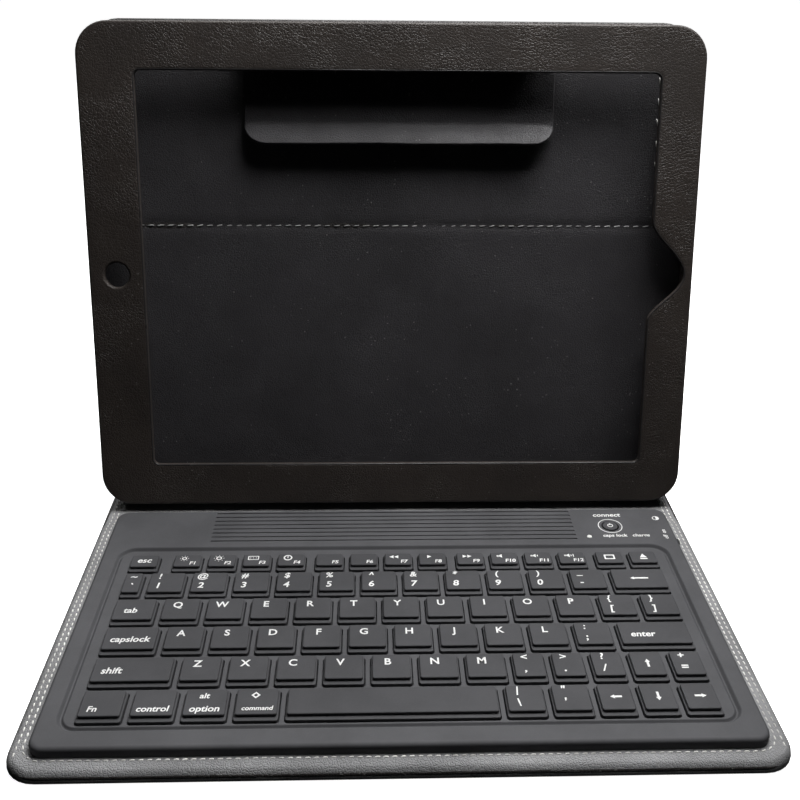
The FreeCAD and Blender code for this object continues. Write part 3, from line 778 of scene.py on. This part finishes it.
def upper_cover():
    """The leather of the fold and of the panel behind the pocket."""
    outside = PANEL + FOLD_CLEARANCE
    start = PROP @ Vector((0, outside, PROP_LENGTH - FOLD_LEAD)) / MM
    turn = math.degrees(2 * TILT)
    bend_end = FOLD_LEAD + outside * math.radians(turn)
    length = bend_end + POCKET_HEIGHT - PROP_LENGTH
    at = bent_path((start.y, start.z), 90 + math.degrees(TILT), [(FOLD_LEAD, bend_end, -turn)], length + 4)
    at = thinned(at, [((FOLD_LEAD + bend_end) / 2, FOLD_CREASE_REACH)])
    mesh = bmesh.new()
    corner = POCKET_TOP_CORNER
    outline = rounded_outline(-HALF_WIDTH, HALF_WIDTH, 0, length, (0, 0, corner, corner), 3.0)
    uneven = waves(26, 0.15, 5.0)
    lines = lines_across(FOLD_LINES)
    add_sheet(mesh, outline, PANEL, lines, low=lambda x, y: uneven(x, y) * min(1.0, y / 20))
    cover = piece("cover_upper_back", mesh, BASE, "cover_leather", None,
                  ["upper_back_leather"], at)
    fold_start, fold_end = blend_points(FOLD, FOLD_BLEND)
    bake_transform(cover)
    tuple(fold_start)
    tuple(fold_end)
    inset = COVER_SEAM_INSET
    edge = HALF_WIDTH - inset
    corner -= inset
    rim = rounded_outline(-edge, edge, bend_end + 3, length - inset, (0, 0, corner, corner), 400)
    stitching("upper_back_stitches", [rim + rim[:1]], BASE, "tablet_pocket", 0.0, warp=mirrored_height(at))


def base_rows():
    """The paths of the base's stitch rows. The inner row turns round the front corners."""
    rear = HINGE.y / MM - 3
    inner, front = HALF_WIDTH - ROW_SIDE_INSET, from_front(ROW_FRONT_INSET)
    left = [(-inner, rear), (-inner, front + ROW_CORNER)]
    left += arc(-inner + ROW_CORNER, front + ROW_CORNER, ROW_CORNER, 180, 90, 12)
    right = arc(inner - ROW_CORNER, front + ROW_CORNER, ROW_CORNER, 270, 90, 12)
    outer = HALF_WIDTH - OUTER_ROW_INSET
    rows = [left + right + [(inner, rear)]]
    rows += [[(side * outer, rear), (side * outer, from_front(6.0))] for side in (-1, 1)]
    return rows


def border_rise(x, y):
    """How much the padding lifts the border. It is flat behind the keyboard and slopes down to the edges."""
    share = min(1.0, max(0.0, (from_front(PADDING_END) - y) / PADDING_FADE))
    lift = BORDER_RISE * share * share * (3 - 2 * share)
    to_edge = max(0.0, min(y - FRONT, HALF_WIDTH - abs(x)))
    slope = max(0.0, 1 - to_edge / BORDER_SLOPE_WIDTH)
    return lift - BORDER_SLOPE * slope * slope * share


def base_border():
    """The stitched lining of the base panel, which shows as a border round the keyboard."""
    half = HALF_WIDTH + BORDER_WRAP
    rear = HINGE.y / MM - BORDER_REAR_GAP
    corner = COVER_CORNER + BORDER_WRAP
    outline = rounded_outline(-half, half, FRONT - BORDER_WRAP, rear, (corner, corner, 0, 0), 3.0)
    rows = base_rows()
    lines = [[place[:2] for place in walk(row, 1.5)] for row in rows]
    stitched = np.array([point for line in lines for point in line])
    uneven = waves(16, 0.12, 1.0)

    def relief(x, y):
        near = np.hypot(*(stitched - (x, y)).T).min()
        return uneven(x, y) + border_rise(x, y) - DIMPLE_DEPTH * math.exp(-((near / DIMPLE_REACH) ** 2))

    mesh = bmesh.new()
    add_plate(mesh, outline, [], PANEL + 0.1, BORDER_THICKNESS, BORDER_ROUNDING, 2.6, relief, lines)
    piece("base_border", mesh, BASE, "border_leather", "base", ["base_lining"])

    def lifted(x, y, height):
        return Vector((x, y, height + uneven(x, y) + border_rise(x, y)))

    stitching("base_stitches", rows, BASE, "base", PANEL + 0.02, warp=lifted)


def prop_lining():
    """The lining on the prop's inner side."""
    half = HALF_WIDTH - LINING_INSET
    outline = rounded_outline(-half, half, 2.6, PROP_LENGTH - 3.0, 1.0, 4.0)
    mesh = bmesh.new()
    add_plate(mesh, outline, [], -0.15, 0.6, 0.3, 5.0, waves(22, 0.08, 3.0))
    piece("prop_lining_sheet", mesh, PROP @ FACING_FRONT, "lining", "prop_panel", ["prop_lining"])


# ---- pocket ----


def pocket_outline(inset=0.0, spacing=3.0):
    """The pocket's outline seen from the front."""
    half = POCKET_HALF - inset
    low, high = POCKET_BOTTOM_CORNER - inset, POCKET_TOP_CORNER - inset
    return rounded_outline(-half, half, inset, POCKET_HEIGHT - inset, (low, low, high, high), spacing, 10)


def pocket_frame():
    """The frame round the tablet: leather turned round its edges, and a glossy painted rim at the window."""
    mesh = bmesh.new()
    hole = circle(CAMERA_HOLE_X, MIDDLE_HEIGHT, CAMERA_HOLE_RADIUS)
    uneven = waves(30, 0.35, 7.0)
    small = waves(9, 0.05, 8.0)

    def relief(x, y):
        return uneven(x, y) + small(x, y)

    add_plate(mesh, pocket_outline(), [window_outline(), hole], 0.0, FRAME_THICKNESS, 1.0, 3.0, relief)
    piece("pocket_front", mesh, POCKET_FACE, "frame_leather", "tablet_pocket",
          ["frame_leather", "frame_board"])
    mesh = bmesh.new()
    rings = []
    for step in range(11):
        turn = math.radians(36 * step)
        loop = offset(window_outline(), RIM_RADIUS + RIM_RADIUS * math.cos(turn))
        level = -RIM_RADIUS + RIM_RADIUS * math.sin(turn)
        rings.append([(x, y, level + RIM_RELIEF * relief(x, y)) for x, y in loop])
    add_rings(mesh, rings)
    piece("window_rim", mesh, POCKET_FACE, "edge_paint", "tablet_pocket")


def gusset():
    """The strip between the frame and the back, which bows inwards a little."""
    open_top = POCKET_HEIGHT - POCKET_TOP_CORNER
    path = [point for point in pocket_outline(STRIP_INSET) if point[1] < open_top]
    path.sort(key=lambda point: math.atan2(point[0], MIDDLE_HEIGHT - point[1]))
    points = np.array(path)
    ahead = np.gradient(points, axis=0)
    ahead /= np.linalg.norm(ahead, axis=1)[:, None]
    inward = np.column_stack((-ahead[:, 1], ahead[:, 0]))
    section = []
    steps = 8
    for step in range(steps + 1):
        share = step / steps
        depth = FRAME_THICKNESS - 0.3 + (CAVITY_BACK + 0.5 - FRAME_THICKNESS) * share
        section.append((STRIP_BOW * math.sin(math.pi * share), depth))
    section += [(inset + STRIP_THICKNESS, depth) for inset, depth in reversed(section)]
    mesh = bmesh.new()
    add_solid(mesh, [[(*(point + normal * inset), -depth) for inset, depth in section]
                     for point, normal in zip(points, inward)])
    piece("pocket_side_strip", mesh, POCKET_FACE, "frame_leather", "tablet_pocket",
          ["pocket_gusset"])


def pocket_back():
    """The pocket's back: its lining with the stitched fold line, and the leather-covered board behind."""
    fold = [(x, FOLD_LINE) for x in np.arange(-POCKET_HALF + 6, POCKET_HALF - 5, 3.0)]
    flanks = [[(x, FOLD_LINE + side) for x, _ in fold] for side in (-3.2, -1.4, 1.4, 3.2)]
    uneven = waves(38, 0.5, 9.0)
    small = waves(7, 0.06, 10.0)

    def relief(x, y):
        crease = math.exp(-(((y - FOLD_LINE) / CREASE_REACH) ** 2))
        return uneven(x, y) + small(x, y) - CREASE_DEPTH * crease

    mesh = bmesh.new()
    add_plate(mesh, pocket_outline(BACK_INSET, 4.0), [], -CAVITY_BACK, 0.9, 0.4, 2.8, relief, [fold, *flanks])
    piece("pocket_lining", mesh, POCKET_FACE, "lining", "tablet_pocket", ["pocket_back_lining"])
    rows = [[(-POCKET_HALF + 5, FOLD_LINE), (POCKET_HALF - 5, FOLD_LINE)]]
    level = -CAVITY_BACK - 0.22
    stitching("fold_line_stitches", rows, POCKET_FACE, "tablet_pocket", level, FOLD_SEAM,
              thread="lining_thread")
    rows = [[(side * SIDE_SEAM_X, end) for end in SIDE_SEAM_ENDS] for side in (-1, 1)]
    stitching("lining_side_stitches", rows, POCKET_FACE, "tablet_pocket", level + 0.2, SIDE_SEAM)
    mesh = bmesh.new()
    add_plate(mesh, pocket_outline(BACK_PANEL_INSET), [], CAVITY_BACK + BACK_PANEL_FACE,
              BACK_PANEL_THICKNESS, 0.8, 5.0)
    piece("pocket_back_panel", mesh, POCKET_REAR_FACE, "cover_leather", "tablet_pocket",
          ["pocket_back_board", "pocket_back_leather"])


def tuck_flap():
    """The flap over the pocket's mouth: a strip, a tongue down inside, and a band that flares forward."""
    low, high = box_mm("tuck_flap")[0].x, box_mm("tuck_flap")[1].x
    strip, strip_end, flare = FLAP_STRIP, FLAP_STRIP + FLAP_BEND, FLAP_LENGTH - FLAP_BAND
    turns = [(strip, strip_end, -90), (flare - 1, flare + 1, -FLAP_FLARE),
             (flare + 4, FLAP_LENGTH, FLAP_CURL)]
    at = bent_path(FLAP_START, 0.0, turns, FLAP_LENGTH + 1)
    outline = rounded_outline(low, high, 0, FLAP_LENGTH, (1.0, 1.0, FLAP_CORNER, FLAP_CORNER), 3.0)
    across = np.arange(low + 3, high - 2, 4)
    bends = (strip, strip + 0.8, strip + 1.6, strip_end, flare - 1, flare, flare + 1)
    lines = [[(x, y) for x in across] for y in bends]
    ripple = waves(15, 0.3, 12.0)

    def uneven(x, y):
        return ripple(x, y) * min(1.0, y / 20)

    mesh = bmesh.new()
    add_sheet(mesh, outline, FLAP_THICKNESS, lines, uneven, uneven)
    piece("mouth_flap", mesh, POCKET, "lining", "tuck_flap", ["tuck_flap"], at)


# ---- keyboard ----


def key_nodes():
    """The CAD nodes that are keys: each has a joint of its own for typing."""
    return sorted(joint["child"] for joint in frame["joints"] if joint["name"].startswith("typing_"))


def key_islands(node):
    """The box of each separate key of a node in millimetres, from left to right and from the front."""
    mesh = bmesh.new()
    mesh.from_mesh(frame["nodes"][node].data)
    bmesh.ops.remove_doubles(mesh, verts=mesh.verts, dist=1e-6)
    left = set(mesh.verts)
    boxes = []
    while left:
        found = [left.pop()]
        for vertex in found:
            for edge in vertex.link_edges:
                other = edge.other_vert(vertex)
                if other in left:
                    left.remove(other)
                    found.append(other)
        points = np.array([vertex.co for vertex in found]) / MM
        boxes.append((points.min(0), points.max(0)))
    mesh.free()
    return sorted(boxes, key=lambda box: (round(box[0][1]), box[0][0]))


def cap_box(box):
    """The cap's left, right, front and rear, from the box of the whole key."""
    low, high = box
    return low[0] + SKIRT_SIDE, high[0] - SKIRT_SIDE, low[1] + SKIRT_FRONT, high[1] - SKIRT_SIDE


def add_key(mesh, box):
    """A key: a skirt, an undercut and a softly crowned cap."""
    low, high = box
    skirt = rounded_outline(low[0], high[0], low[1], high[1], SKIRT_CORNER, 20, 4)
    cap = rounded_outline(*cap_box(box), CAP_CORNER, 20, 4)
    rings = []
    for loop, section in ((skirt, SKIRT_SECTION), (cap, CAP_SECTION)):
        rings += [[(x, y, height) for x, y in offset(loop, out)] for out, height in section]
    add_solid(mesh, rings)


def groove_outlines():
    """The outlines of the shallow grooves behind the well."""
    loops = []
    for number in range(RIBS):
        y = from_front(FIRST_RIB + number * RIB_PITCH)
        loops.append(rounded_outline(-RIB_HALF_WIDTH, RIB_HALF_WIDTH, y - RIB_HALF, y + RIB_HALF,
                                     RIB_CORNER, 12, 4))
    return loops


def key_openings():
    """The outline of the opening round each key."""
    loops = []
    for node in key_nodes():
        for low, high in key_islands(node):
            low, high = low - KEY_CLEARANCE, high + KEY_CLEARANCE
            loops.append(rounded_outline(low[0], high[0], low[1], high[1], KEY_HOLE_CORNER, 20, 4))
    return loops


def add_recess(mesh, loop, top, edge, bottom):
    """A blind hole or groove with a round edge."""
    add_wall(mesh, loop, lambda x, y, drop: top - drop, round_edge(edge, top - bottom, 3), -1)
    add_fill(mesh, fill([loop]), bottom)


def keyboard_shell():
    """The silicone top: round-edged deck, sunk well with an opening for each key, and shallow grooves."""
    low, high = box_mm("keyboard_skin")
    outline = rounded_outline(low.x, high.x, low.y, high.y, SHELL_CORNER, 6.0)
    well_front, well_rear = from_front(WELL[0]), from_front(WELL[1])
    well = rounded_outline(-WELL_HALF_WIDTH, WELL_HALF_WIDTH, well_front, well_rear, WELL_CORNER, 6.0, 10)
    grooves = groove_outlines()
    openings = key_openings()
    holes = [circle(CONNECT[0], from_front(CONNECT[1]), CONNECT_HOLE),
             circle(LIGHT[0], from_front(LIGHT[1]), LIGHT_HOLE, 20)]

    def deck(x, y, drop):
        return DECK_TOP - drop

    mesh = bmesh.new()
    flats = [offset(outline, -DECK_EDGE), offset(well, WELL_LIP)]
    flats += [offset(groove, RIB_EDGE) for groove in grooves] + [offset(hole, HOLE_EDGE) for hole in holes]
    add_fill(mesh, fill(flats), DECK_TOP)
    add_wall(mesh, outline, deck, round_edge(DECK_EDGE, DECK_TOP - SHELL_BOTTOM))
    add_fill(mesh, fill([outline]), SHELL_BOTTOM)
    add_wall(mesh, well, deck, WELL_RIM, -1)
    for groove in grooves:
        add_recess(mesh, groove, DECK_TOP, RIB_EDGE, DECK_TOP - RIB_DEPTH)
    for hole in holes:
        add_recess(mesh, hole, DECK_TOP, HOLE_EDGE, BLIND_HOLE)
    flats = [offset(well, -WELL_LIP)] + [offset(opening, KEY_HOLE_EDGE) for opening in openings]
    add_fill(mesh, fill(flats), WELL_FLOOR)
    for opening in openings:
        add_recess(mesh, opening, WELL_FLOOR, KEY_HOLE_EDGE, BLIND_HOLE)
    piece("keyboard_shell", mesh, BASE, "silicone", "base", ["keyboard_skin"], sharp=60)


# ---- legends ----


def add_shape(mesh, loops, x, y, level=KEY_TOP):
    """A thin printed shape: an outline and its holes, moved to a place."""
    moved = [[(x + a, y + b) for a, b in loop] for loop in loops]
    add_fill(mesh, fill(moved), level + INK)


def add_text(mesh, text, x, y, size, level=KEY_TOP, shear=0.0, turn=0.0):
    """Printed letters, whose middle is at a place."""
    curve = bpy.data.curves.new("text", "FONT")
    curve.body = text
    curve.size = size
    curve.align_x = "CENTER"
    curve.align_y = "CENTER"
    curve.shear = shear
    curve.offset = 0.022 * size
    curve.resolution_u = 3
    holder = linked("text", curve)
    bpy.context.view_layer.update()
    letters = bpy.data.meshes.new_from_object(holder)
    letters.transform(Matrix.Translation((x, y, level + INK)) @ Matrix.Rotation(math.radians(turn), 4, "Z"))
    mesh.from_mesh(letters)
    bpy.data.objects.remove(holder)
    bpy.data.meshes.remove(letters)


def add_ring(mesh, outer, inner, x, y, level=KEY_TOP, steps=18):
    """A printed ring."""
    add_shape(mesh, [circle(0, 0, outer, steps), circle(0, 0, inner, steps)], x, y, level)


def arrow(length, head, thickness, turn):
    """An arrow's outline, pointing along +X and then turned."""
    back, neck, half = -length / 2, length / 2 - head, thickness / 2
    points = [(back, -half), (neck, -half), (neck, -head * 0.6), (length / 2, 0), (neck, head * 0.6),
              (neck, half), (back, half)]
    c, s = math.cos(math.radians(turn)), math.sin(math.radians(turn))
    return [(px * c - py * s, px * s + py * c) for px, py in points]


def triangle(size, turn):
    """A solid triangle, pointing along +X and then turned."""
    angles = [math.radians(turn + corner) for corner in (0, 120, 240)]
    return [(size * math.cos(angle), size * math.sin(angle)) for angle in angles]


def box_loop(width, height):
    """A rectangle about its middle."""
    return rounded_outline(-width / 2, width / 2, -height / 2, height / 2, 0.25, 9, 3)


def icon_sun(mesh, x, y, scale):
    """A ring with short rays."""
    size = ICON_SIZE * scale
    add_ring(mesh, size * 0.42, size * 0.24, x, y, steps=14)
    for ray_x, ray_y in circle(x, y, size * 0.68, 8):
        add_shape(mesh, [box_loop(0.4, 0.4)], ray_x, ray_y)


def icon_board(mesh, x, y):
    """A small keyboard."""
    wide, high = ICON_SIZE * 1.7, ICON_SIZE
    add_shape(mesh, [box_loop(wide, high), box_loop(wide - 0.7, high - 0.7)], x, y)
    for column in (-0.45, 0, 0.45):
        add_shape(mesh, [box_loop(0.45, 0.45)], x + column * ICON_SIZE, y)


def icon_clock(mesh, x, y):
    """A ring with a hand."""
    add_ring(mesh, ICON_SIZE * 0.7, ICON_SIZE * 0.48, x, y)
    add_shape(mesh, [box_loop(0.4, ICON_SIZE * 0.6)], x, y + ICON_SIZE * 0.15)


def icon_triangles(mesh, x, y, *turns):
    """Triangles side by side, as on a player."""
    for number, turn in enumerate(turns):
        across = (number - (len(turns) - 1) / 2) * ICON_SIZE * 0.75
        add_shape(mesh, [triangle(ICON_SIZE * 0.45, turn)], x + across, y)


def icon_speaker(mesh, x, y, bars):
    """A loudspeaker with up to two bars of sound."""
    add_shape(mesh, [box_loop(ICON_SIZE * 0.4, ICON_SIZE * 0.4)], x - ICON_SIZE * 0.4, y)
    add_shape(mesh, [triangle(ICON_SIZE * 0.5, 180)], x, y)
    for bar in range(bars):
        across = x + ICON_SIZE * (0.5 + 0.35 * bar)
        add_shape(mesh, [box_loop(0.36, ICON_SIZE * (0.5 + 0.3 * bar))], across, y)


# The picture on each function key, and what its drawing takes.
ICONS = {
    1: (icon_sun, 0.9),
    2: (icon_sun, 1.1),
    3: (icon_board,),
    4: (icon_clock,),
    7: (icon_triangles, 180, 180),
    8: (icon_triangles, 0),
    9: (icon_triangles, 0, 0),
    10: (icon_speaker, 0),
    11: (icon_speaker, 1),
    12: (icon_speaker, 2),
}
# What is printed on the keys of each node, from left to right.
LETTERS = {
    "upper_letter_keys": "QWERTYUIOP",
    "middle_letter_keys": "ASDFGHJKL",
    "lower_letter_keys": "ZXCVBNM",
}
# The upper and the lower marks of keys with two.
PAIRS = {
    "tilde_key": ("~", "`"),
    "number_keys": ("!@#$%^&*()_", "1234567890-"),
    "right_punctuation_keys": (":{}", ";[]"),
    "lower_punctuation_keys": ("<>?", ",./"),
    "equals_key": ("+", "="),
    "bottom_punctuation_keys": ("|\"", "\\'"),
}
# The words on a key: text, size, and the shares of the cap's width and depth at its middle.
WORDS = {
    "escape_key": [("esc", 4.2, 0.5, 0.5)],
    "tab_key": [("tab", 3.9, 0.42, 0.42)],
    "caps_lock_key": [("capslock", 4.0, 0.5, 0.42)],
    "enter_key": [("enter", 4.0, 0.32, 0.42)],
    "shift_key": [("shift", 4.1, 0.24, 0.42)],
    "fn_key": [("Fn", 3.4, 0.3, 0.26)],
    "control_key": [("control", 3.5, 0.5, 0.24)],
    "option_key": [("alt", 3.3, 0.45, 0.72), ("option", 3.7, 0.5, 0.22)],
    "command_key": [("command", 2.55, 0.52, 0.22)],
}
# Which way each arrow points, in degrees from +X.
ARROWS = {
    "up_arrow_key": 90,
    "down_arrow_key": 270,
    "left_arrow_key": 180,
    "right_arrow_key": 0,
    "backspace_key": 180,
}


def letter_marks(mesh, node, caps):
    """A letter on each key, towards its upper left."""
    for cap, letter in zip(caps, LETTERS[node]):
        add_text(mesh, letter, cap[0] + LETTER_PLACE[0], cap[2] + LETTER_PLACE[1], LETTER_SIZE)


def pair_marks(mesh, node, caps):
    """Two marks on each key, one over the other, at its left."""
    for (left, right, front, _), *marks in zip(caps, *PAIRS[node]):
        across = PAIR_PLACE if right - left > NARROW_CAP else (right - left) / 2
        for mark, (up, size) in zip(marks, (UPPER_MARK, LOWER_MARK)):
            add_text(mesh, mark, left + across, front + up, size, shear=PAIR_SLANT)


def word_marks(mesh, node, caps):
    """The words on a key."""
    left, right, front, rear = caps[0]
    for text, size, across, up in WORDS[node]:
        add_text(mesh, text, left + (right - left) * across, front + (rear - front) * up, size, shear=SLANT)


def function_marks(mesh, node, caps):
    """A picture and a number on each key of the top row."""
    first = int(node.split("_")[2])
    for number, (left, right, front, _) in enumerate(caps, first):
        place = (right - NUMBER_INSET[0], front + NUMBER_INSET[1])
        add_text(mesh, "F" + str(number), *place, NUMBER_SIZE, shear=SLANT)
        if number in ICONS:
            draw, *settings = ICONS[number]
            draw(mesh, left + ICON_PLACE[0], front + ICON_PLACE[1], *settings)


def legends(mesh, node, caps):
    """The printed marks of one node's keys."""
    left, right, front, rear = caps[0]
    x, y = (left + right) / 2, (front + rear) / 2
    if node in LETTERS:
        letter_marks(mesh, node, caps)
    elif node in PAIRS:
        pair_marks(mesh, node, caps)
    elif node in WORDS:
        word_marks(mesh, node, caps)
    elif node in ARROWS:
        length = 7.0 if node == "backspace_key" else 3.9
        add_shape(mesh, [arrow(length, 1.5, 0.8, ARROWS[node])], x, y)
    elif node.startswith("function_keys"):
        function_marks(mesh, node, caps)
    elif node == "home_key":
        add_shape(mesh, [box_loop(4.2, 3.0), box_loop(3.0, 1.8)], x, y)
    elif node == "eject_key":
        add_shape(mesh, [triangle(1.6, 90)], x, y + 0.3)
        add_shape(mesh, [box_loop(3.0, 0.6)], x, y - 1.3)
    if node == "command_key":
        diamond = [(0, -1.5), (1.5, 0), (0, 1.5), (-1.5, 0)]
        hole = [(a * 0.5, b * 0.5) for a, b in diamond]
        add_shape(mesh, [diamond, hole], x - 0.6, front + 8.5)


def keys():
    """Every key with its print."""
    for node in key_nodes():
        boxes = key_islands(node)
        mesh = bmesh.new()
        for box in boxes:
            add_key(mesh, box)
        piece(node + "_caps", mesh, BASE, "key_silicone", node, [node], sharp=40)
        marks = bmesh.new()
        legends(marks, node, [cap_box(box) for box in boxes])
        if marks.faces:
            piece(node + "_print", marks, BASE, "print", node)
        else:
            marks.free()


def deck_print():
    """The words and marks on the deck round the connect button and beside the switch."""
    mesh = bmesh.new()
    x, y = CONNECT[0], from_front(CONNECT[1])
    add_text(mesh, "connect", x, y + 8.2, 3.6, DECK_TOP, SLANT)
    add_ring(mesh, *CONNECT_RING, x, y, DECK_TOP, 40)
    add_text(mesh, "caps lock   charge", x + 5.2, y - 7.0, 2.7, DECK_TOP, SLANT)
    mark_x, mark_y = CHARGE_MARK[0], from_front(CHARGE_MARK[1])
    add_ring(mesh, 1.5, 1.1, mark_x, mark_y, DECK_TOP)
    add_shape(mesh, [arc(0, 0, 1.1, -90, 180, 8)], mark_x, mark_y, DECK_TOP)
    add_text(mesh, "off  on", SWITCH_WORDS[0], from_front(SWITCH_WORDS[1]), 2.5, DECK_TOP, turn=90)
    piece("deck_print", mesh, BASE, "print", "base")
    mesh = bmesh.new()
    add_ring(mesh, 1.2, 0.85, x, y, DECK_TOP + 0.24)
    add_shape(mesh, [box_loop(0.4, 1.3)], x, y + 0.9, DECK_TOP + 0.25)
    piece("connect_button_print", mesh, BASE, "print", "connect_button")


def connect_button():
    """The round button, slightly dished."""
    x, y = CONNECT[0], from_front(CONNECT[1])
    mesh = bmesh.new()
    add_solid(mesh, [[(a, b, height) for a, b in circle(x, y, radius)] for radius, height in BUTTON_SECTION])
    piece("connect_button_cap", mesh, BASE, "key_silicone", "connect_button",
          ["connect_button"])


# ---- stage ----


def stage():
    """A pale floor and a pale dome over it, which only the camera sees."""
    mesh = bmesh.new()
    rings = []
    for step in range(DOME_STEPS):
        turn = math.pi / 2 * step / DOME_STEPS
        loop = circle(0, 0, STAGE_RADIUS * math.cos(turn), 48)
        rings.append([(x, y, STAGE_RADIUS * math.sin(turn)) for x, y in loop])
    add_solid(mesh, rings)
    tree, shader = new_material("floor", (0.86, 0.86, 0.86), 0.9)
    place = add_node(tree, "ShaderNodeTexCoord").outputs["Object"]
    tone = stepped(tree, noise_node(tree, place, 3.0), 0.3, 0.7)
    shade = mixed(tree, tone, (0.85, 0.85, 0.85, 1), (0.87, 0.87, 0.87, 1))
    tree.links.new(shade, shader.inputs["Base Color"])
    shader.inputs["Emission Color"].default_value = (1, 1, 1, 1)
    shader.inputs["Emission Strength"].default_value = 1.0
    floor = linked("floor", finished_mesh("floor", mesh, "floor"))
    floor.location.z = -0.0002
    floor.visible_diffuse = False
    floor.visible_glossy = False
    floor.visible_shadow = False


def area_light(name, place, target, size, power):
    """A square soft light that faces a point."""
    data = bpy.data.lights.new(name, "AREA")
    data.size = size
    data.energy = power
    lamp = linked(name, data)
    lamp.location = place
    lamp.rotation_euler = (Vector(target) - Vector(place)).to_track_quat("-Z", "Y").to_euler()


def lights():
    """Soft light from overhead, a dim sky and a little light from behind."""
    for light in AREA_LIGHTS:
        area_light(*light)
    world = bpy.data.worlds.new("sky")
    bpy.context.scene.world = world
    world.use_nodes = True
    tree = world.node_tree
    place = add_node(tree, "ShaderNodeTexCoord").outputs["Generated"]
    up = add_node(tree, "ShaderNodeSeparateXYZ", {0: place}).outputs[2]
    sky = stepped(tree, up, 0.0, 0.9, 0.01, 0.22)
    tree.links.new(sky, tree.nodes["Background"].inputs["Strength"])
    bpy.context.scene.view_settings.view_transform = "Standard"


def camera():
    """The camera, at the height and distance of a person who sits before the keyboard."""
    yaw, pitch, roll = CAMERA_TURN
    data = bpy.data.cameras.new("camera")
    data.sensor_width = 36.0
    data.lens = CAMERA_LENS
    data.clip_start = 0.01
    made = linked("camera", data)
    made.matrix_world = (
        Matrix.Translation((0, FRONT * MM, 0)) @ Matrix.Translation(CAMERA_FROM_FRONT)
        @ Matrix.Rotation(-yaw, 4, "Z") @ Matrix.Rotation(math.pi / 2 - pitch, 4, "X")
        @ Matrix.Rotation(roll, 4, "Z")
    )
    bpy.context.scene.camera = made


camera()
make_materials()
for finish, finished_nodes in CAD_FINISH.items():
    for finished_node in finished_nodes:
        finish_cad_node(frame["nodes"][finished_node], finish)
lower_cover()
upper_cover()
base_border()
prop_lining()
pocket_frame()
gusset()
pocket_back()
tuck_flap()
keyboard_shell()
keys()
connect_button()
deck_print()
lights()
stage()
